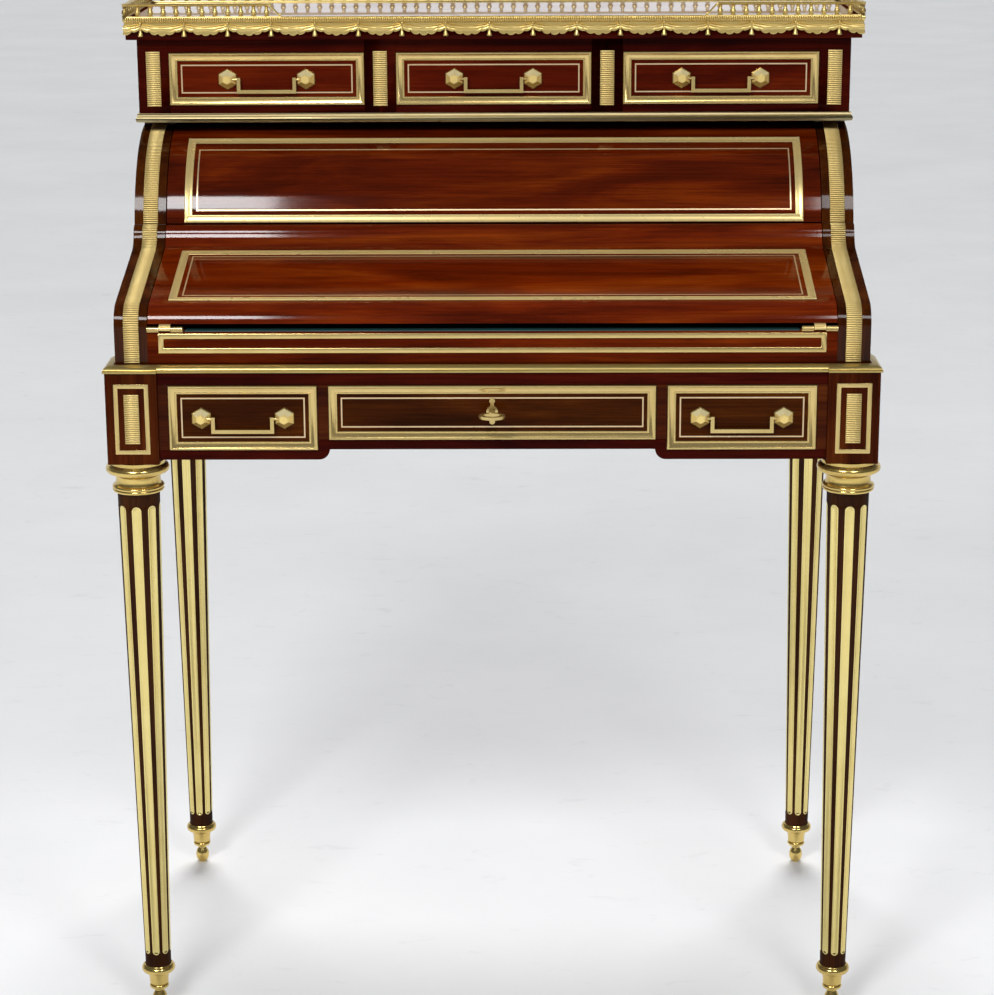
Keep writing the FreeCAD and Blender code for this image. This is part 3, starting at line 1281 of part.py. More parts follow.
def export():
    """Check every object, then write one file for each sub-part."""
    doc.recompute()
    for item in doc.Objects:
        if "Invalid" in item.State or "Error" in item.State:
            raise RuntimeError(f"{item.Label} failed: {item.State}")
    for label, item in nodes.items():
        if item.Shape.isNull() or not item.Shape.isValid():
            raise RuntimeError(f"{label} has no valid shape")
        if not item.Shape.Solids:
            raise RuntimeError(f"{label} has no solid")
    os.makedirs("parts", exist_ok=True)
    for label, item in nodes.items():
        item.Shape.exportStep(f"parts/{label}.step")
    print(len(nodes), "sub-parts")


fill_sheet()
make_legs()
make_leg_brass()
make_frieze()
make_desk_board()
make_drawers()
make_centre_drawer()
make_writing_bed()
make_cheeks()
make_cheek_strips()
make_cylinder_fall()
make_flap()
make_tier()
make_top()
make_plaques()
export()
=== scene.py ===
import math

import bpy
from mathutils import Matrix, Vector


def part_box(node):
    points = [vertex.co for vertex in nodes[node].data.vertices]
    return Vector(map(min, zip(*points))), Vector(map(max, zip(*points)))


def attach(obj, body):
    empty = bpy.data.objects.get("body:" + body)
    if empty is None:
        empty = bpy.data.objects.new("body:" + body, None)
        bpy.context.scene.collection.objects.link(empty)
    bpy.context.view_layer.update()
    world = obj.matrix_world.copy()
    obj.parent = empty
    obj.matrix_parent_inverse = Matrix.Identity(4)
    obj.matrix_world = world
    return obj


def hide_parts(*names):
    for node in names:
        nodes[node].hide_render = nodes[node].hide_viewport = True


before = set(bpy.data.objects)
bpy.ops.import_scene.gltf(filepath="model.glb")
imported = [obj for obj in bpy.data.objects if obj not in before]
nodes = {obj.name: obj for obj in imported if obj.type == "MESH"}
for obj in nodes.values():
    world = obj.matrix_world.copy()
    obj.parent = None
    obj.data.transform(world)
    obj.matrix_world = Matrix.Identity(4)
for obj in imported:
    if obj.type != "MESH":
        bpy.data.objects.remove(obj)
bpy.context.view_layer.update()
scene = bpy.context.scene
MM = 0.001
WHITE = (1.0, 1.0, 1.0)
CRISP_ANGLE = math.radians(38)        # edges shallower than this are shaded smooth


def box_mm(name):
    """Corners of a node in millimetres."""
    low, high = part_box(name)
    return [value / MM for value in low], [value / MM for value in high]


# Materials

class Graph:
    """Small helper over a material's node tree."""

    def __init__(self, name):
        self.material = bpy.data.materials.new(name)
        self.material.use_nodes = True
        self.tree = self.material.node_tree
        self.shader = self.tree.nodes["Principled BSDF"]
        self.place = self.add("ShaderNodeTexCoord").outputs["Object"]

    def add(self, kind, **settings):
        """New node with its settings."""
        item = self.tree.nodes.new(kind)
        for key, value in settings.items():
            setattr(item, key, value)
        return item

    def link(self, start, end):
        self.tree.links.new(start, end)

    def scaled(self, scale, turn=(0, 0, 0)):
        """Place on the piece, stretched along each axis and turned."""
        item = self.add("ShaderNodeMapping")
        item.inputs["Scale"].default_value = scale
        item.inputs["Rotation"].default_value = turn
        self.link(self.place, item.inputs["Vector"])
        return item.outputs["Vector"]

    def noise(self, vector, scale, detail=3.0, rough=0.5, distortion=0.0):
        item = self.add("ShaderNodeTexNoise")
        self.link(vector, item.inputs["Vector"])
        item.inputs["Scale"].default_value = scale
        item.inputs["Detail"].default_value = detail
        item.inputs["Roughness"].default_value = rough
        item.inputs["Distortion"].default_value = distortion
        return item.outputs["Fac"]

    def ramp(self, source, *stops):
        """Colour over a source; stops are (position, colour)."""
        item = self.add("ShaderNodeValToRGB")
        ramp = item.color_ramp
        while len(ramp.elements) < len(stops):
            ramp.elements.new(0.5)
        for element, (position, colour) in zip(ramp.elements, stops):
            element.position = position
            element.color = (*colour, 1)
        self.link(source, item.inputs["Fac"])
        return item.outputs["Color"]

    def span(self, source, low, high, to_low, to_high):
        """Source carried from one range to another."""
        item = self.add("ShaderNodeMapRange")
        keys = ("From Min", "From Max", "To Min", "To Max")
        for key, number in zip(keys, (low, high, to_low, to_high)):
            item.inputs[key].default_value = number
        self.link(source, item.inputs["Value"])
        return item.outputs["Result"]

    def mix(self, first, second, amount, blend="MIX"):
        """Blend of two colours; the amount is a number or an output."""
        item = self.add("ShaderNodeMix", data_type="RGBA", blend_type=blend)
        self.link(first, item.inputs[6])
        self.link(second, item.inputs[7])
        if isinstance(amount, bpy.types.NodeSocket):
            self.link(amount, item.inputs[0])
        else:
            item.inputs[0].default_value = amount
        return item.outputs[2]

    def tint(self, colour, source, amount, *stops):
        """Colour multiplied by a ramp over a source."""
        return self.mix(colour, self.ramp(source, *stops), amount, "MULTIPLY")

    def math(self, operation, first, second):
        item = self.add("ShaderNodeMath", operation=operation)
        for socket, source in zip(item.inputs, (first, second)):
            if isinstance(source, bpy.types.NodeSocket):
                self.link(source, socket)
            else:
                socket.default_value = source
        return item.outputs[0]

    def bump(self, height, strength, distance, socket="Normal"):
        """Fine relief on one of the shader's normals."""
        item = self.add("ShaderNodeBump")
        item.inputs["Strength"].default_value = strength
        item.inputs["Distance"].default_value = distance
        self.link(height, item.inputs["Height"])
        self.link(item.outputs["Normal"], self.shader.inputs[socket])

    def set(self, key, value):
        """Constant, or the output that drives a socket of the shader."""
        if isinstance(value, bpy.types.NodeSocket):
            self.link(value, self.shader.inputs[key])
        else:
            self.shader.inputs[key].default_value = value


def mahogany(name, grain, tones, coat, raw_from=None):
    """Polished mahogany with its grain along one axis.

    Behind raw_from (Y in mm) it is bare and paler.
    """
    graph = Graph(name)
    axis = "XYZ".index(grain)

    def stretched(across):
        return graph.scaled([1.0 if index == axis else across for index in range(3)])

    figure = graph.noise(stretched(8.0), 4.2, 4.0, 0.55, 0.9)
    streak = graph.noise(stretched(55.0), 8.0, 5.0, 0.62, 0.35)
    pores = graph.noise(stretched(34.0), 40.0, 2.0, 0.5)
    cloud = graph.noise(graph.scaled((1, 1, 1)), 6.5, 2.0, 0.5)
    dark, mid, light = tones
    colour = graph.ramp(figure, (0.3, dark), (0.5, mid), (0.72, light))
    colour = graph.tint(colour, streak, 0.75, (0.3, (0.46, 0.36, 0.30)), (0.6, WHITE))
    colour = graph.tint(colour, cloud, 0.7, (0.3, (0.7, 0.62, 0.58)), (0.7, (1.25, 1.2, 1.15)))
    colour = graph.tint(colour, pores, 0.4, (0.33, (0.3, 0.22, 0.2)), (0.43, WHITE))
    weight = coat
    if raw_from is not None:
        parts = graph.add("ShaderNodeSeparateXYZ")
        graph.link(graph.place, parts.inputs[0])
        raw = graph.span(parts.outputs["Y"], raw_from * MM, (raw_from + 0.5) * MM, 0.0, 1.0)
        bare = graph.ramp(streak, (0.3, (0.16, 0.075, 0.032)), (0.7, (0.30, 0.155, 0.07)))
        colour = graph.mix(colour, bare, raw)
        weight = graph.span(raw, 0.0, 1.0, coat, 0.0)
    graph.set("Base Color", colour)
    graph.set("Roughness", graph.span(streak, 0.3, 0.7, 0.55, 0.4))
    graph.set("Specular IOR Level", 0.0)
    graph.set("Coat Weight", weight)
    graph.set("Coat Roughness", graph.span(cloud, 0.3, 0.7, 0.09, 0.05))
    graph.set("Coat IOR", 1.5)
    graph.bump(pores, 0.05, 0.0002)
    graph.bump(graph.noise(stretched(3.0), 22.0, 3.0, 0.5), 0.035, 0.0006, "Coat Normal")
    return graph.material


def brass(name, base, dull, rough, metal=0.8, proud=None, reeded=False):
    """Satin lacquered brass, faintly clouded.

    In front of proud (Y in mm) it has painted light and shade: faces turned up
    are painted lighter and faces turned down darker. Where reeded, the grooves get painted shade.
    """
    graph = Graph(name)
    cloud = graph.noise(graph.scaled((1, 1, 1)), 26.0, 3.0, 0.5)
    colour = graph.ramp(cloud, (0.3, dull), (0.65, base))
    weight = metal
    if proud is not None:
        parts = graph.add("ShaderNodeSeparateXYZ")
        graph.link(graph.place, parts.inputs[0])
        near = graph.span(parts.outputs["Y"], (proud - 0.6) * MM, proud * MM, 1.0, 0.0)
        # Painted light on the rosettes: lighter on faces turned up, darker on faces turned down.
        side = graph.add("ShaderNodeSeparateXYZ")
        graph.link(graph.add("ShaderNodeTexCoord").outputs["Normal"], side.inputs[0])
        upward = graph.span(side.outputs["Z"], -0.8, 0.8, 0.0, 1.0)
        painted_facet_light = graph.ramp(upward, (0.0, (0.36, 0.22, 0.05)), (0.5, (0.90, 0.68, 0.24)),
                            (0.9, (1.0, 0.87, 0.48)))
        colour = graph.mix(colour, painted_facet_light, near)
        weight = graph.span(near, 0.0, 1.0, metal, 0.4)
    # Painted shade in the grooves of the reeding: the colour darkens towards the bottom of each
    # groove.
    if reeded:
        groove = graph.add("ShaderNodeAttribute", attribute_name="groove").outputs["Fac"]
        colour = graph.tint(colour, groove, 1.0, (0.0, (0.20, 0.12, 0.05)), (0.8, WHITE))
    graph.set("Base Color", colour)
    graph.set("Metallic", weight)
    graph.set("Roughness", graph.span(cloud, 0.3, 0.7, rough + 0.04, rough - 0.03))
    graph.set("Specular IOR Level", 0.3)
    return graph.material


def leather(name):
    """Dark green writing leather with a fine pebbled grain."""
    graph = Graph(name)
    cells = graph.add("ShaderNodeTexVoronoi", feature="DISTANCE_TO_EDGE")
    cells.inputs["Scale"].default_value = 900.0
    graph.link(graph.place, cells.inputs["Vector"])
    wear = graph.noise(graph.scaled((1, 1, 1)), 14.0, 4.0, 0.6)
    crease = graph.span(cells.outputs["Distance"], 0.0, 0.25, 0.0, 1.0)
    colour = graph.ramp(wear, (0.3, (0.0065, 0.044, 0.046)), (0.7, (0.0115, 0.074, 0.076)))
    colour = graph.tint(colour, crease, 0.8, (0.0, (0.5, 0.5, 0.5)), (0.5, WHITE))
    graph.set("Base Color", colour)
    graph.set("Roughness", graph.span(wear, 0.3, 0.7, 0.62, 0.46))
    graph.bump(crease, 0.25, 0.0003)
    return graph.material


def marble(name):
    """Veined marble, from pale warm grey to rusty beige."""
    graph = Graph(name)
    cloud = graph.noise(graph.scaled((1, 1.4, 1)), 6.0, 6.0, 0.6, 0.8)
    vein = graph.noise(graph.scaled((1.3, 1, 1), (0, 0, 0.6)), 9.0, 8.0, 0.62, 1.6)
    line = graph.math("ABSOLUTE", graph.math("SUBTRACT", vein, 0.5), 0.0)
    colour = graph.ramp(cloud, (0.3, (0.36, 0.245, 0.18)), (0.48, (0.53, 0.43, 0.37)),
                        (0.7, (0.66, 0.60, 0.56)))
    colour = graph.tint(colour, line, 0.7, (0.0, (0.48, 0.34, 0.28)), (0.04, WHITE))
    graph.set("Base Color", colour)
    graph.set("Roughness", graph.span(cloud, 0.3, 0.7, 0.05, 0.03))
    return graph.material


# Dark, middle and light tones of each wood
RED = ((0.056, 0.0054, 0.0003), (0.118, 0.0120, 0.0006), (0.210, 0.0320, 0.0016))
FLAME = ((0.080, 0.0074, 0.0004), (0.160, 0.0165, 0.0008), (0.270, 0.0440, 0.0022))
WINE = ((0.022, 0.0009, 0.0003), (0.048, 0.0028, 0.0006), (0.078, 0.0075, 0.0012))
ROSE = ((0.048, 0.0034, 0.0005), (0.100, 0.0080, 0.0010), (0.160, 0.0190, 0.0022))
DEEP = ((0.028, 0.0040, 0.0006), (0.064, 0.0105, 0.0012), (0.108, 0.0235, 0.0024))
BROWN = ((0.026, 0.0060, 0.0007), (0.058, 0.0130, 0.0013), (0.100, 0.0265, 0.0026))
TURNED = ((0.024, 0.0068, 0.0014), (0.050, 0.0150, 0.0030), (0.080, 0.0270, 0.0056))
WOOD = {
    "red_x": mahogany("mahogany_red_x", "X", RED, 0.55),
    "flame_x": mahogany("mahogany_flame_x", "X", FLAME, 0.6),
    "red_rail": mahogany("mahogany_red_rail", "X", RED, 0.06),
    "wine_x": mahogany("mahogany_wine_x", "X", WINE, 0.06),
    "deep_x": mahogany("mahogany_deep_x", "X", DEEP, 0.1),
    "deep_y": mahogany("mahogany_deep_y", "Y", DEEP, 0.2),
    "deep_z": mahogany("mahogany_deep_z", "Z", DEEP, 0.06),
    "brown_z": mahogany("mahogany_brown_z", "Z", BROWN, 0.35),
    "leg_z": mahogany("mahogany_leg_z", "Z", TURNED, 0.12),
}
PLAIN_BRASS = (0.70, 0.53, 0.215), (0.63, 0.46, 0.175), 0.22
BRASS = brass("brass_polished", *PLAIN_BRASS)
# Paler copy of the brass with painted light, for the fall's and the flap's frames under the tier.
LIT_FALL = brass("brass_fall_painted_light", (0.84, 0.66, 0.29), (0.78, 0.59, 0.24), 0.28, 0.5)
# Paler copy of the brass with painted light, for the tier moulding, which the lamps leave dark.
EDGE = brass("brass_edge_painted_light", (0.98, 0.82, 0.44), (0.94, 0.75, 0.37), 0.3, 0.25)
FLUTE = brass("brass_flute", (0.83, 0.69, 0.28), (0.77, 0.62, 0.23), 0.17, 0.93)
ROUND = brass("brass_turned", (0.74, 0.55, 0.185), (0.66, 0.47, 0.14), 0.2, 0.9)
# Reeded brass, with painted shade in its grooves.
CAST = brass("brass_reeded", (0.78, 0.61, 0.25), (0.72, 0.54, 0.205), 0.42, 0.75,
             reeded=True)
GILT = brass("brass_gilt", (0.68, 0.52, 0.19), (0.60, 0.44, 0.145), 0.3, 0.72)
# Darker copy of the brass with painted shade, for the frieze moulding, which the lamps light
# strongly from above.
SHADED_LEDGE = brass("brass_ledge_painted_shade", (0.52, 0.40, 0.145), (0.46, 0.34, 0.11), 0.3, 0.75)
LINE = brass("brass_line", (0.80, 0.60, 0.36), (0.74, 0.54, 0.30), 0.3, 0.6)
LEATHER = leather("leather_green")
MARBLE = marble("marble_grey")


# Finish of the nodes that stay

def edge_finish():
    """Node group that shades smooth across shallow edges and keeps the rest crisp."""
    group = bpy.data.node_groups.new("crisp_edges", "GeometryNodeTree")
    group.interface.new_socket("Geometry", in_out="INPUT", socket_type="NodeSocketGeometry")
    group.interface.new_socket("Geometry", in_out="OUTPUT", socket_type="NodeSocketGeometry")
    start, end = group.nodes.new("NodeGroupInput"), group.nodes.new("NodeGroupOutput")
    faces = group.nodes.new("GeometryNodeSetShadeSmooth")
    faces.domain = "FACE"
    angle = group.nodes.new("GeometryNodeInputMeshEdgeAngle")
    steep = group.nodes.new("FunctionNodeCompare")
    steep.data_type = "FLOAT"
    steep.operation = "GREATER_THAN"
    steep.inputs[1].default_value = CRISP_ANGLE
    edges = group.nodes.new("GeometryNodeSetShadeSmooth")
    edges.domain = "EDGE"
    edges.inputs["Shade Smooth"].default_value = False
    group.links.new(start.outputs[0], faces.inputs[0])
    group.links.new(faces.outputs[0], edges.inputs[0])
    group.links.new(angle.outputs["Unsigned Angle"], steep.inputs[0])
    group.links.new(steep.outputs[0], edges.inputs["Selection"])
    group.links.new(edges.outputs[0], end.inputs[0])
    return group


CRISP = edge_finish()


def dress(name, material, bevel=0.0):
    """Material, and a small rounding of the edges where one is asked for."""
    item = nodes[name]
    item.data.materials.clear()
    item.data.materials.append(material)
    if not bevel:
        return
    weld = item.modifiers.new("weld", "WELD")
    weld.merge_threshold = 0.00001
    rounding = item.modifiers.new("rounding", "BEVEL")
    rounding.width = bevel * MM
    rounding.segments = 3
    rounding.limit_method = "ANGLE"
    rounding.angle_limit = CRISP_ANGLE
    rounding.use_clamp_overlap = True
    crisp = item.modifiers.new("crisp", "NODES")
    crisp.node_group = CRISP
    weighted = item.modifiers.new("weighted", "WEIGHTED_NORMAL")
    weighted.keep_sharp = True


FRIEZE_DRAWERS = ("frieze_drawer_left", "frieze_drawer_centre", "frieze_drawer_right")
TIER_DRAWERS = ("tier_drawer_left", "tier_drawer_centre", "tier_drawer_right")
HANDLED = ("frieze_drawer_left", "frieze_drawer_right") + TIER_DRAWERS
FRONT_THICK = 16.0                    # drawer front; the box behind it is bare wood
ROSETTE_START = 3.2                   # where the rosettes stand clear of the drawer's frame

for name in ("leg_front_left", "leg_front_right", "leg_back_left", "leg_back_right"):
    dress(name, WOOD["leg_z"])
dress("leg_flutings", FLUTE)
for name in ("leg_collars", "leg_feet"):
    dress(name, ROUND)
dress("corner_blocks", WOOD["deep_z"], 0.7)
dress("apron_sides", WOOD["deep_y"], 0.5)
for name in ("apron_back", "drawer_guides", "writing_bed", "tier_floor", "back_panel",
             "desk_board"):
    dress(name, WOOD["deep_x"], 0.4)
for name in ("apron_top_rail", "apron_bottom_rail", "tier_front_frame", "cornice"):
    dress(name, WOOD["wine_x"], 0.4)
dress("front_rail", WOOD["red_rail"], 0.4)
for name in ("cheek_left", "cheek_right", "tier_partitions"):
    dress(name, WOOD["brown_z"], 0.5)
for row, names, tones in (("frieze", FRIEZE_DRAWERS, BROWN), ("tier", TIER_DRAWERS, ROSE)):
    front = box_mm(names[0])[0][1]
    wood = mahogany("mahogany_" + row + "_drawers", "X", tones, 0.06, front + FRONT_THICK)
    # The rosettes, in front of ROSETTE_START, get painted light and shade by the facing of each
    # face.
    trim = brass("brass_" + row + "_drawers", *PLAIN_BRASS, proud=front - ROSETTE_START)
    for name in names:
        dress(name, wood, 0.4)
        dress(name + "_brass", trim, 0.25)
dress("cylinder_panel", WOOD["red_x"], 0.5)
dress("flap_board", WOOD["flame_x"], 0.5)
dress("cylinder_arms", WOOD["deep_z"], 0.3)
dress("frieze_moulding", SHADED_LEDGE, 0.25)
for name in ("front_rail_bead", "block_frames"):
    dress(name, BRASS, 0.25)
dress("tier_moulding", EDGE, 0.25)
for name in ("cylinder_frame", "flap_brass"):
    dress(name, LIT_FALL, 0.25)
for name in HANDLED:
    dress(name + "_bail", BRASS, 0.5)
for name in ("key", "lock_case", "lock_bolt", "hinge_plates"):
    dress(name, BRASS, 0.2)
dress("marble_top", MARBLE, 0.6)


# Added pieces

class Build:
    """Points (mm) and faces gathered for one piece."""

    def __init__(self):
        self.points = []
        self.faces = []
        self.shades = {}

    def grid(self, rows, close_columns=False, shades=None):
        """Quads over rows of equal length; shades holds each row's height in the rib, for painted
        groove shade.
        """
        start = len(self.points)
        count = len(rows[0])
        for index, row in enumerate(rows):
            if shades:
                place = len(self.points)
                self.shades.update((place + column, shades[index]) for column in range(count))
            self.points.extend(row)
        for row in range(len(rows) - 1):
            for column in range(count if close_columns else count - 1):
                right = (column + 1) % count
                first, second = start + row * count, start + (row + 1) * count
                self.faces.append((first + column, first + right, second + right, second + column))

    def cap(self, ring):
        """One face over a ring of points."""
        start = len(self.points)
        self.points.extend(ring)
        self.faces.append(tuple(range(start, start + len(ring))))

    def make(self, name, material, body, replaced=None, angle=50):
        """Mesh that rides on a body, smooth across shallow edges."""
        mesh = bpy.data.meshes.new(name)
        mesh.from_pydata([Vector(point) * MM for point in self.points], [], self.faces)
        mesh.validate()
        mesh.polygons.foreach_set("use_smooth", [True] * len(mesh.polygons))
        mesh.set_sharp_from_angle(angle=math.radians(angle))
        # Height in the rib, which the reeded brass reads to paint shade in the grooves.
        if self.shades:
            groove = mesh.attributes.new("groove", "FLOAT", "POINT")
            values = [self.shades.get(index, 1.0) for index in range(len(mesh.vertices))]
            groove.data.foreach_set("value", values)
        mesh.materials.append(material)
        item = bpy.data.objects.new(name, mesh)
        scene.collection.objects.link(item)
        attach(item, body)
        if replaced:
            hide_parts(replaced)
        return item


RIB_STEPS = 8                         # rows of points to a rib
RIB_PITCH = 2.25
RIB_RISE = 1.15
RIB_BASE = 0.08                       # bottom of a groove over the ground
RIB_ROUND = 0.3                       # rounding at the ends of a rib


def reeding(build, samples, across, width):
    """Half-round ribs across a strip; samples are (point, outward) along it."""
    half = Vector(across) * (width / 2)
    side = Vector(across) * (width / 2 - RIB_ROUND)
    rows, swells = [], []
    for index, (point, outward) in enumerate(samples):
        swell = math.sqrt(1 - (2 * (index % RIB_STEPS) / RIB_STEPS - 1) ** 2)
        lift = Vector(outward) * (RIB_BASE + RIB_RISE * swell)
        rows.append([point - half, point - half + lift * 0.7, point - side + lift,
                     point + side + lift, point + half + lift * 0.7, point + half])
        swells.append(swell)
    # The swell of each row also sets the painted shade in the grooves.
    build.grid(rows, shades=swells)
    for row in (rows[0], rows[-1]):
        build.cap(row)


def facing(angle):
    """Outward direction in YZ of a surface that climbs at an angle."""
    return Vector((-math.sin(angle), math.cos(angle)))


class Path:
    """Front edge of a cheek in the YZ plane, walked by length."""

    def __init__(self, start):
        self.runs = []
        self.end = Vector(start)
        self.length = 0.0

    def line(self, end):
        end = Vector(end)
        base = self.end.copy()
        along = (end - base).normalized()
        outward = Vector((-along.y, along.x))
        size = (end - base).length
        self.runs.append((size, lambda s: (base + along * s, outward)))
        self.end = end
        self.length += size

    def arc(self, centre, radius, start, end):
        """Round run; the radius is negative in a hollow, and the surface climbs at the angles."""
        centre = Vector(centre)
        size = abs(radius * math.radians(end - start))

        def at(s):
            outward = facing(math.radians(start + (end - start) * s / size))
            return centre + outward * radius, outward

        self.runs.append((size, at))
        self.end = at(size)[0]
        self.length += size

    def at(self, s):
        """Point and outward direction at a length along the path."""
        for size, place in self.runs:
            if s <= size or (size, place) == self.runs[-1]:
                return place(min(s, size))
            s -= size

    def ribs(self):
        """Points and outward directions along the path, RIB_STEPS to a rib."""
        count = RIB_STEPS * round(self.length / RIB_PITCH)
        samples = []
        for index in range(count + 1):
            point, outward = self.at(self.length * index / count)
            samples.append((Vector((0, *point)), Vector((0, *outward))))
        return samples


# Profile of the cheeks, in YZ: the vectors hold (y, z)
CHEEK_FRONT, DESK_TOP = -193.75, 707.6
NOSE, NOSE_RADIUS = Vector((-169.75, 742.7)), 24.0
SLOPE_LOW, SLOPE_HIGH = Vector((-175.353, 766.037)), Vector((-52.350, 795.568))
SLOPE_DEGREES = 13.5
SLOPE = math.radians(SLOPE_DEGREES)
HOLLOW_RADIUS, HOLLOW_END = 22.4, 75.0
LIP_RADIUS, LIP_END = 11.1, 15.0
CYLINDER, CYLINDER_RADIUS = Vector((89.298, 793.8)), 118.0
SEAM, SEAM_GAP = 819.4, 0.6
CHEEK_TOP = 77.218
CHEEK_STRIP_X, CHEEK_STRIP_WIDTH = 359.5, 15.5


def cheek_paths():
    """Ogee below the seam and the round above it."""
    lower = Path((CHEEK_FRONT, DESK_TOP))
    lower.line((CHEEK_FRONT, NOSE.y))
    lower.arc(NOSE, NOSE_RADIUS, 90.0, SLOPE_DEGREES)
    lower.line(SLOPE_HIGH)
    lower.arc(SLOPE_HIGH + facing(SLOPE) * HOLLOW_RADIUS, -HOLLOW_RADIUS, SLOPE_DEGREES, HOLLOW_END)
    lip = lower.end - facing(math.radians(HOLLOW_END)) * LIP_RADIUS
    lower.arc(lip, LIP_RADIUS, HOLLOW_END, LIP_END)
    upper = Path((0, 0))
    low = math.degrees(math.asin((SEAM + SEAM_GAP - CYLINDER.y) / CYLINDER_RADIUS))
    high = math.degrees(math.acos((CYLINDER.x - CHEEK_TOP) / CYLINDER_RADIUS))
    upper.arc(CYLINDER, CYLINDER_RADIUS, 90.0 - low, 90.0 - high)
    return lower, upper


def make_cheek_strips():
    """Reeded brass down the front edge of each cheek."""
    build = Build()
    for path in cheek_paths():
        samples = path.ribs()
        for side in (-1, 1):
            shift = Vector((side * CHEEK_STRIP_X, 0, 0))
            shifted = [(point + shift, outward) for point, outward in samples]
            reeding(build, shifted, (1, 0, 0), CHEEK_STRIP_WIDTH)
    build.make("reeded_cheek_strips", CAST, "case", "cheek_strips")


PLAQUE_WIDTH = 15.0
LEG_X, LEG_YS = 360, (-181.75, 206.25)
BLOCK_FRONT, BLOCK_SIDE = -207.75, 386
BLOCK_MIDDLE, BLOCK_PLAQUE = 653.4, 51.0
TIER_PITCH, TIER_FRONT = 240, 41.218
TIER_MIDDLE, TIER_PLAQUE = 963.25, 58.0


def make_plaques():
    """Reeded plaques on the corner blocks and between the upper drawers."""
    build = Build()
    to_front = Vector((0, -1, 0))
    places = []
    for side in (-1, 1):
        places.append((Vector((side * LEG_X, BLOCK_FRONT, BLOCK_MIDDLE)), to_front, BLOCK_PLAQUE))
        for y in LEG_YS:
            centre = Vector((side * BLOCK_SIDE, y, BLOCK_MIDDLE))
            places.append((centre, Vector((side, 0, 0)), BLOCK_PLAQUE))
    for step in (-1.5, -0.5, 0.5, 1.5):
        places.append((Vector((step * TIER_PITCH, TIER_FRONT, TIER_MIDDLE)), to_front, TIER_PLAQUE))
    for centre, outward, height in places:
        count = RIB_STEPS * round(height / RIB_PITCH)
        levels = [(index / count - 0.5) * height for index in range(count + 1)]
        samples = [(centre + Vector((0, 0, level)), outward) for level in levels]
        reeding(build, samples, (outward.y, outward.x, 0), PLAQUE_WIDTH)
    build.make("reeded_plaques", CAST, "case", "ribbed_plaques")


STRING_INSET, STRING_WIDTH, STRING_LIFT = 12.3, 1.4, 0.16
FALL_TOP_INSET = 17.5
FALL_FIELD = 13.33, 64.0              # angles of the cylinder frame's ends
FLAP_FIELD = 3.0, 1.0                 # margins of the flap's frame on the slope


def stringing(build, surface, half_width, low, high, steps=1):
    """Thin inlaid line round a field; surface maps (across, up, lift) to a point."""
    width, lift = STRING_WIDTH, STRING_LIFT
    outer = [(-half_width, low), (half_width, low), (half_width, high), (-half_width, high)]
    inner = [(-half_width + width, low + width), (half_width - width, low + width),
             (half_width - width, high - width), (-half_width + width, high - width)]
    for index in range(4):
        rows = []
        for step in range(steps + 1):
            part = step / steps
            out = [a + (b - a) * part for a, b in zip(outer[index - 1], outer[index])]
            near = [a + (b - a) * part for a, b in zip(inner[index - 1], inner[index])]
            rows.append([surface(*out, 0), surface(*out, lift),
                         surface(*near, lift), surface(*near, 0)])
        build.grid(rows)


def on_slope(origin, across, along, up):
    """Point along the flap's slope from an origin in YZ, and up from it."""
    return (across, origin.x + along * math.cos(SLOPE) - up * math.sin(SLOPE),
            origin.y + along * math.sin(SLOPE) + up * math.cos(SLOPE))


def make_stringing():
    """Brass lines let into the fields of the drawers, the fall and the flap."""
    for name in FRIEZE_DRAWERS + TIER_DRAWERS:
        low, high = box_mm(name + "_brass")
        front = box_mm(name)[0][1]
        middle = (low[0] + high[0]) / 2
        build = Build()
        stringing(build, lambda a, b, h: (middle + a, front - h, b),
                  (high[0] - low[0]) / 2 - STRING_INSET,
                  low[2] + STRING_INSET, high[2] - STRING_INSET)
        build.make(name + "_stringing", LINE, name)

    def round_fall(a, b, h):
        angle = b / CYLINDER_RADIUS
        reach = CYLINDER_RADIUS + h
        return (a, CYLINDER.x - reach * math.cos(angle), CYLINDER.y + reach * math.sin(angle))

    build = Build()
    low, high = (math.radians(angle) * CYLINDER_RADIUS for angle in FALL_FIELD)
    half_width = box_mm("cylinder_frame")[1][0] - STRING_INSET
    stringing(build, round_fall, half_width, low + STRING_INSET, high - FALL_TOP_INSET, 24)
    build.make("cylinder_stringing", LINE, "cylinder_fall")

    build = Build()
    low, high = FLAP_FIELD[0], (SLOPE_HIGH - SLOPE_LOW).length - FLAP_FIELD[1]
    stringing(build, lambda a, b, h: on_slope(SLOPE_LOW, a, b, h), half_width,
              low + STRING_INSET, high - STRING_INSET)
    build.make("flap_stringing", LINE, "flap")


# Edge of a hide, as (inset, drop)
HIDE_ROLL = ((0.0, 1.1), (0.12, 0.55), (0.4, 0.2), (0.9, 0.05), (1.5, 0.0))
HIDE_STEPS = 12
FLAP_HINGE = Vector((-196.35, 743.1))
LINING_RISE, LINING_THICK = 2.1, 1.2


def hide(build, width, length, surface):
    """Leather laid flat, its edges rolled down to what carries it.

    surface maps (across, along, drop) to a point.
    """
    def stations(size):
        inside = [(size * part / HIDE_STEPS, 0.0) for part in range(1, HIDE_STEPS)]
        far_edge = [(size - inset, drop) for inset, drop in reversed(HIDE_ROLL)]
        return list(HIDE_ROLL) + inside + far_edge

    build.grid([[surface(across - width / 2, along, max(drop, fall))
                 for across, drop in stations(width)]
                for along, fall in stations(length)])


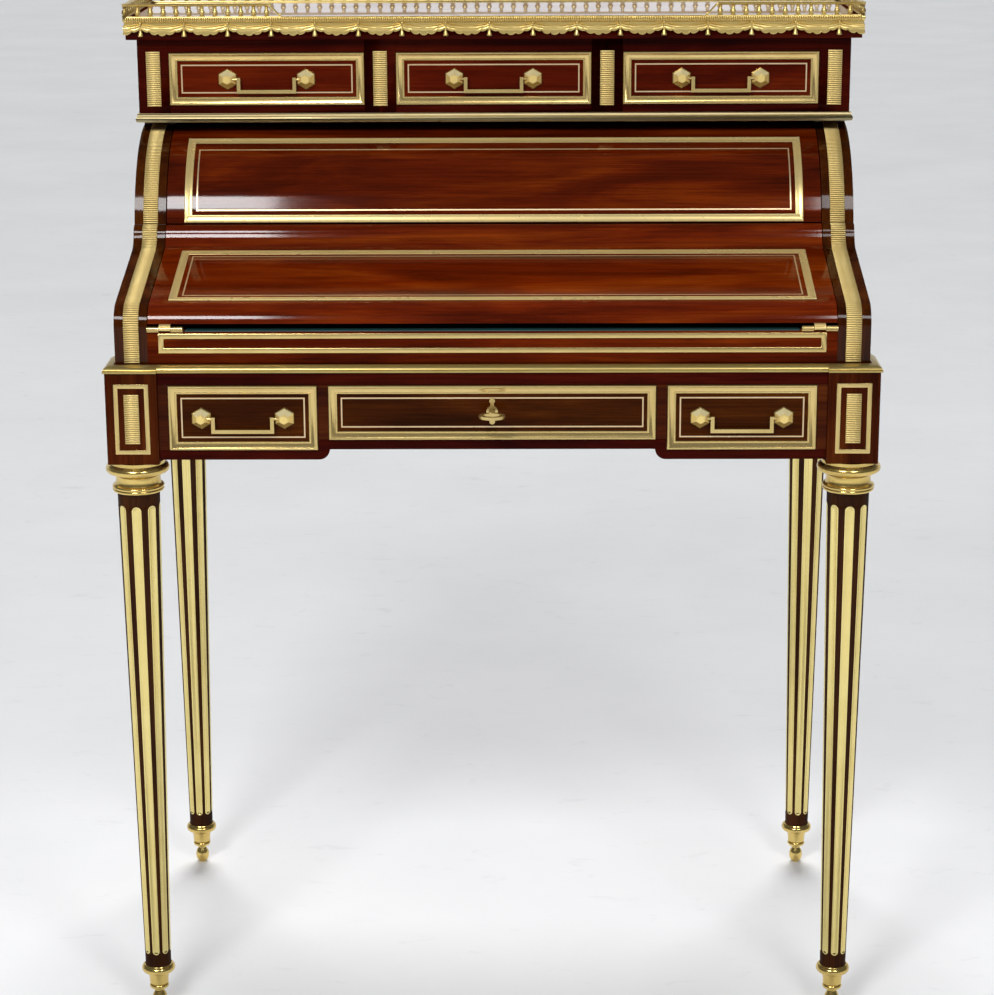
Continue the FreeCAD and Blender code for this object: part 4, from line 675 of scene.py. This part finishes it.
def make_leather():
    """Green hides on the writing bed and under the flap."""
    low, high = box_mm("bed_leather")
    width, length = high[0] - low[0], high[1] - low[1]
    build = Build()
    hide(build, width, length, lambda a, b, drop: (a, low[1] + b, high[2] - drop))
    bed = build.make("bed_hide", LEATHER, "case", "bed_leather")

    low, high = box_mm("flap_leather")
    top = LINING_RISE + LINING_THICK
    near = (low[1] - FLAP_HINGE.x + top * math.sin(SLOPE)) / math.cos(SLOPE)
    far = (high[1] - FLAP_HINGE.x + LINING_RISE * math.sin(SLOPE)) / math.cos(SLOPE)
    build = Build()
    hide(build, width, far - near,
         lambda a, b, drop: on_slope(FLAP_HINGE, a, near + b, LINING_RISE + drop))
    flap = build.make("flap_hide", LEATHER, "flap", "flap_leather")


def lathe(build, centre, profile, sides=12):
    """Turned form about a vertical axis; profile holds (radius, height)."""
    rows = []
    for radius, height in profile:
        turns = [2 * math.pi * step / sides for step in range(sides)]
        rows.append([centre + Vector((radius * math.cos(turn), radius * math.sin(turn), height))
                     for turn in turns])
    build.grid(rows, close_columns=True)
    build.cap(rows[0])
    build.cap(rows[-1])


DRAPERY_TOP = 1028.3
TASSEL_END = 370.0                    # middle of the front to the first tassel on the left
PERIOD = 45.73
SWAG_STEP = 0.7
TASSEL_OUT = 2.2                      # axis of a tassel in front of the cornice
TASSEL = [(0.6, -4.2), (1.7, -5.0), (1.8, -6.0), (1.0, -7.0), (0.8, -8.5), (0.8, -10.4),
          (1.45, -11.0), (1.65, -11.8), (1.2, -12.6), (1.5, -13.8), (2.15, -16.0), (2.75, -17.7),
          (2.9, -18.6), (2.4, -19.2), (1.3, -19.3)]
SWAG_ROWS = 14
SWAG_FOLDS = 2.5                      # half waves of the folds down the cloth
SWAG_LOBES = 2.5                      # half waves of the hem from tassel to middle


def swag(phase):
    """Profile of the cloth between two tassels, as (level, lift) from the top down.

    The phase runs from -1 at one tassel to 1 at the next.
    """
    hang = 1 - phase * phase
    upper = -5.6 - 3.2 * hang
    lobe = math.sqrt(abs(math.sin(math.pi * SWAG_LOBES * (phase + 1))))
    lower = -11.4 - 4.5 * hang ** 1.5 - (1.5 + 1.4 * hang) * lobe
    row = [(-5.4, 0.8), (upper + 0.3, 0.8)]
    for index in range(SWAG_ROWS + 1):
        part = index / SWAG_ROWS
        fold = abs(math.cos(math.pi * SWAG_FOLDS * part ** 0.8)) * (1 - 0.6 * part)
        hem = 0.45 * math.exp(-((part - 0.93) / 0.07) ** 2)
        lift = 1.1 + 0.7 * hang + 1.5 * fold * (0.35 + 0.65 * abs(phase) ** 1.5) + hem
        row.append((upper + (lower - upper) * part, lift))
    row.append((lower - 0.05, 0.0))
    return row


LEAF_PITCH = 2.3
LEAF_STEPS = 6
BORDER = (1.4, 0.9, 0.0, -1.2, -2.4, -3.6, -4.6, -5.2)      # levels, from the top down


def border(place):
    """Profile of the leaf-cut edge above the swags."""
    leaf = math.sqrt(abs(math.sin(math.pi * place / LEAF_PITCH)))
    row = [(1.4, 0.0)]
    for level in BORDER:
        swell = math.sin(math.pi * (level + 5.8) / 7.8)
        row.append((level, 1.2 + swell * (0.3 + 1.5 * leaf)))
    row.append((-5.5, 0.5))
    return row


def make_drapery():
    """Cast swags between tassels under a leaf-cut border, on three sides of the cornice."""
    build = Build()
    low, high = box_mm("cornice")
    depth, width = high[1] - low[1], high[0] - low[0]
    first = width / 2 - TASSEL_END
    corners = Vector((low[0], low[1], DRAPERY_TOP)), Vector((high[0], low[1], DRAPERY_TOP))
    sides = [(corners[0], Vector((1, 0, 0)), Vector((0, -1, 0)), width, True),
             (corners[1], Vector((0, 1, 0)), Vector((1, 0, 0)), depth, False),
             (corners[0], Vector((0, 1, 0)), Vector((-1, 0, 0)), depth, False)]
    for start, along, outward, length, both in sides:
        def carry(profile, step):
            """Grid of a profile along the side, mitred at the corners."""
            columns = round(length / step)
            rows = []
            for column in range(columns + 1):
                place = length * column / columns
                corner = -1 if column == 0 else 1 if column == columns and both else 0
                rows.append([start + along * (place + corner * lift) + outward * lift
                             + Vector((0, 0, level)) for level, lift in profile(place)])
            build.grid(rows)

        carry(border, LEAF_PITCH / LEAF_STEPS)
        carry(lambda place: swag(((place - first) / PERIOD) % 1.0 * 2 - 1), SWAG_STEP)
        place = first
        while place < length:
            lathe(build, start + along * place + outward * TASSEL_OUT, TASSEL)
            place += PERIOD
    build.make("draped_mount", GILT, "case", "drapery_mount", 60)


# Sections of the gallery: (radius, height) for a baluster, (across, up) for the rest
BALUSTER = [(2.9, 1.5), (2.9, 2.3), (1.8, 2.8), (2.0, 3.2), (2.9, 4.2), (3.2, 5.4), (2.9, 6.8),
            (1.9, 8.4), (1.6, 9.4), (2.3, 10.0), (2.3, 10.5), (1.7, 11.0), (2.7, 12.2)]
STRIP_HALF, RAIL_HALF = 2.2, 2.4
STRIP = [(-STRIP_HALF, 0), (STRIP_HALF, 0), (STRIP_HALF, 1.1), (1.8, 1.6), (-1.8, 1.6),
         (-STRIP_HALF, 1.1)]
RAIL = [(-1.5, 12.0), (1.5, 12.0), (2.2, 12.6), (1.8, 13.1), (RAIL_HALF, 13.7), (1.9, 14.4),
        (0.8, 14.7), (-0.8, 14.7), (-1.9, 14.4), (-RAIL_HALF, 13.7), (-1.8, 13.1), (-2.2, 12.6)]
SCROLL = [(-2.0, -1.2), (2.0, -1.2), (2.3, 0.2), (1.6, 1.3), (-1.6, 1.3), (-2.3, 0.2)]
GALLERY_X, GALLERY_FRONT, GALLERY_BACK, GALLERY_BASE = 386.2, 28.82, 224.25, 1028.2
RETURN_LENGTH = 149.0
BALUSTER_PITCH = 13.5
RAMP_LENGTH, RAMP_START, RAMP_STEPS = 15.0, 1.5, 14
RAMP_TOP, RAMP_FALL = 13.2, 10.6


def sweep(build, section, points):
    """Level section of (across, up) corners carried through points on a straight plan."""
    along = (points[-1] - points[0]).normalized()
    across = Vector((-along.y, along.x, 0)).normalized()
    rows = [[point + across * side + Vector((0, 0, up)) for side, up in section]
            for point in points]
    build.grid(rows, close_columns=True)
    build.cap(rows[0])
    build.cap(rows[-1])


def make_gallery():
    """Turned balusters between a base strip and a moulded rail, with ramped ends in front."""
    build = Build()
    x, front, back = GALLERY_X, GALLERY_FRONT, GALLERY_BACK
    runs = [((-x, back), (x, back), False),
            ((-x, front), (-x, back), False),
            ((x, front), (x, back), False),
            ((-x, front), (-x + RETURN_LENGTH, front), True),
            ((x, front), (x - RETURN_LENGTH, front), True)]
    for start, end, ramped in runs:
        start, end = Vector((*start, GALLERY_BASE)), Vector((*end, GALLERY_BASE))
        along = (end - start).normalized()
        length = (end - start).length
        reach = RAMP_LENGTH if ramped else STRIP_HALF
        sweep(build, STRIP, [start - along * STRIP_HALF, end + along * reach])
        sweep(build, RAIL, [start - along * RAIL_HALF, end + along * RAIL_HALF])
        count = round(length / BALUSTER_PITCH)
        for index in range(count + 1):
            lathe(build, start + along * (length * index / count), BALUSTER, 10)
        if ramped:
            points = []
            for index in range(RAMP_STEPS + 1):
                part = index / RAMP_STEPS
                place = RAMP_START + (RAMP_LENGTH - RAMP_START) * part
                level = RAMP_TOP - RAMP_FALL * part * part * (3 - 2 * part)
                points.append(end + along * place + Vector((0, 0, level)))
            sweep(build, SCROLL, points)
    build.make("turned_gallery", GILT, "case", "gallery")


make_cheek_strips()
make_plaques()
make_stringing()
make_leather()
make_drapery()
make_gallery()


# Floor, light and camera

def floor_material():
    """Pale floor with faint scuffs."""
    graph = Graph("floor_paint")
    wear = graph.noise(graph.scaled((1, 1, 1)), 2.2, 5.0, 0.6)
    scuff = graph.noise(graph.scaled((1, 2.2, 1)), 17.0, 6.0, 0.7, 0.6)
    colour = graph.ramp(wear, (0.3, (0.76, 0.77, 0.785)), (0.7, (0.82, 0.825, 0.835)))
    colour = graph.tint(colour, scuff, 0.6, (0.28, (0.86, 0.86, 0.87)), (0.4, WHITE))
    graph.set("Base Color", colour)
    graph.set("Roughness", graph.span(wear, 0.3, 0.7, 0.7, 0.6))
    graph.set("Specular IOR Level", 0.2)
    return graph.material


def make_floor():
    """Plain square floor, in metres."""
    reach = 20.0
    corners = [(-reach, -reach, 0), (reach, -reach, 0), (reach, reach, 0), (-reach, reach, 0)]
    mesh = bpy.data.meshes.new("floor")
    mesh.from_pydata(corners, [], [(0, 1, 2, 3)])
    mesh.materials.append(floor_material())
    floor = bpy.data.objects.new("floor", mesh)
    scene.collection.objects.link(floor)


def add_light(data, place, target):
    """Light at a place, turned towards a target."""
    item = bpy.data.objects.new(data.name, data)
    item.location = place
    item.rotation_euler = (Vector(target) - Vector(place)).to_track_quat("-Z", "Y").to_euler()
    scene.collection.objects.link(item)
    return item


def soft_light(name, place, target, size, power):
    """Rectangular softbox; size in metres, power in watts."""
    data = bpy.data.lights.new(name, "AREA")
    data.shape = "RECTANGLE"
    data.size, data.size_y = size
    data.energy = power
    add_light(data, place, target)


STUDIO_DARK = (0.078, 0.079, 0.08, 1)
STUDIO_PALE = (0.80, 0.80, 0.83, 1)
PALE_WALL = ("Y", 0.25, 0.75), ("Z", 0.42, 0.26)      # where the wall behind fades out and in


def make_world():
    """Dark studio with a pale wall low behind the desk, and pale to the camera itself."""
    world = bpy.data.worlds.new("studio")
    world.use_nodes = True
    tree = world.node_tree
    place = tree.nodes.new("ShaderNodeTexCoord")
    parts = tree.nodes.new("ShaderNodeSeparateXYZ")
    tree.links.new(place.outputs["Generated"], parts.inputs[0])
    wall = tree.nodes.new("ShaderNodeMath")
    wall.operation = "MULTIPLY"
    for index, (axis, none, full) in enumerate(PALE_WALL):
        fade = tree.nodes.new("ShaderNodeMapRange")
        fade.inputs["From Min"].default_value = none
        fade.inputs["From Max"].default_value = full
        tree.links.new(parts.outputs[axis], fade.inputs["Value"])
        tree.links.new(fade.outputs["Result"], wall.inputs[index])
    seen = tree.nodes.new("ShaderNodeMath")
    seen.operation = "MAXIMUM"
    rays = tree.nodes.new("ShaderNodeLightPath")
    tree.links.new(wall.outputs[0], seen.inputs[0])
    tree.links.new(rays.outputs["Is Camera Ray"], seen.inputs[1])
    tone = tree.nodes.new("ShaderNodeValToRGB")
    tone.color_ramp.elements[0].color = STUDIO_DARK
    tone.color_ramp.elements[1].color = STUDIO_PALE
    tree.links.new(seen.outputs[0], tone.inputs["Fac"])
    tree.links.new(tone.outputs["Color"], tree.nodes["Background"].inputs["Color"])
    scene.world = world


def make_lights():
    """Two softboxes in front, and a broad light from above and behind that leaves no highlights."""
    soft_light("left_softbox", (-0.92, -2.4, 2.64), (-0.92, 0, 0.85), (0.82, 0.70), 50)
    soft_light("right_softbox", (1.06, -2.4, 2.64), (1.06, 0, 0.85), (0.78, 0.70), 26)
    high = bpy.data.lights.new("skylight", "SUN")
    high.energy = 2.75
    high.angle = math.radians(36)
    add_light(high, (0, 3.0, 4.3), (0, 0, 0)).visible_glossy = False


CAMERA_PLACE = Vector((33.6, -2760.25, 1278.6))
CAMERA_TURN = 15.47, -0.653, -0.245   # pitch down, yaw and roll in degrees
CAMERA_LENS, CAMERA_SENSOR = 95.28, 36.0


def make_camera():
    """Camera fitted to the photograph."""
    data = bpy.data.cameras.new("camera")
    data.lens = CAMERA_LENS
    data.sensor_width = CAMERA_SENSOR
    data.clip_end = 100.0
    pitch, yaw, roll = (math.radians(angle) for angle in CAMERA_TURN)
    forward = Vector((math.sin(yaw) * math.cos(pitch), math.cos(yaw) * math.cos(pitch),
                      -math.sin(pitch)))
    right = Vector((math.cos(yaw), -math.sin(yaw), 0))
    up = right.cross(forward)
    turned_right = right * math.cos(roll) + up * math.sin(roll)
    turned_up = up * math.cos(roll) - right * math.sin(roll)
    item = bpy.data.objects.new("camera", data)
    turn = Matrix((turned_right, turned_up, -forward)).transposed()
    item.matrix_world = Matrix.Translation(CAMERA_PLACE * MM) @ turn.to_4x4()
    scene.collection.objects.link(item)
    scene.camera = item


make_floor()
make_world()
make_lights()
make_camera()
scene.view_settings.view_transform = "Standard"
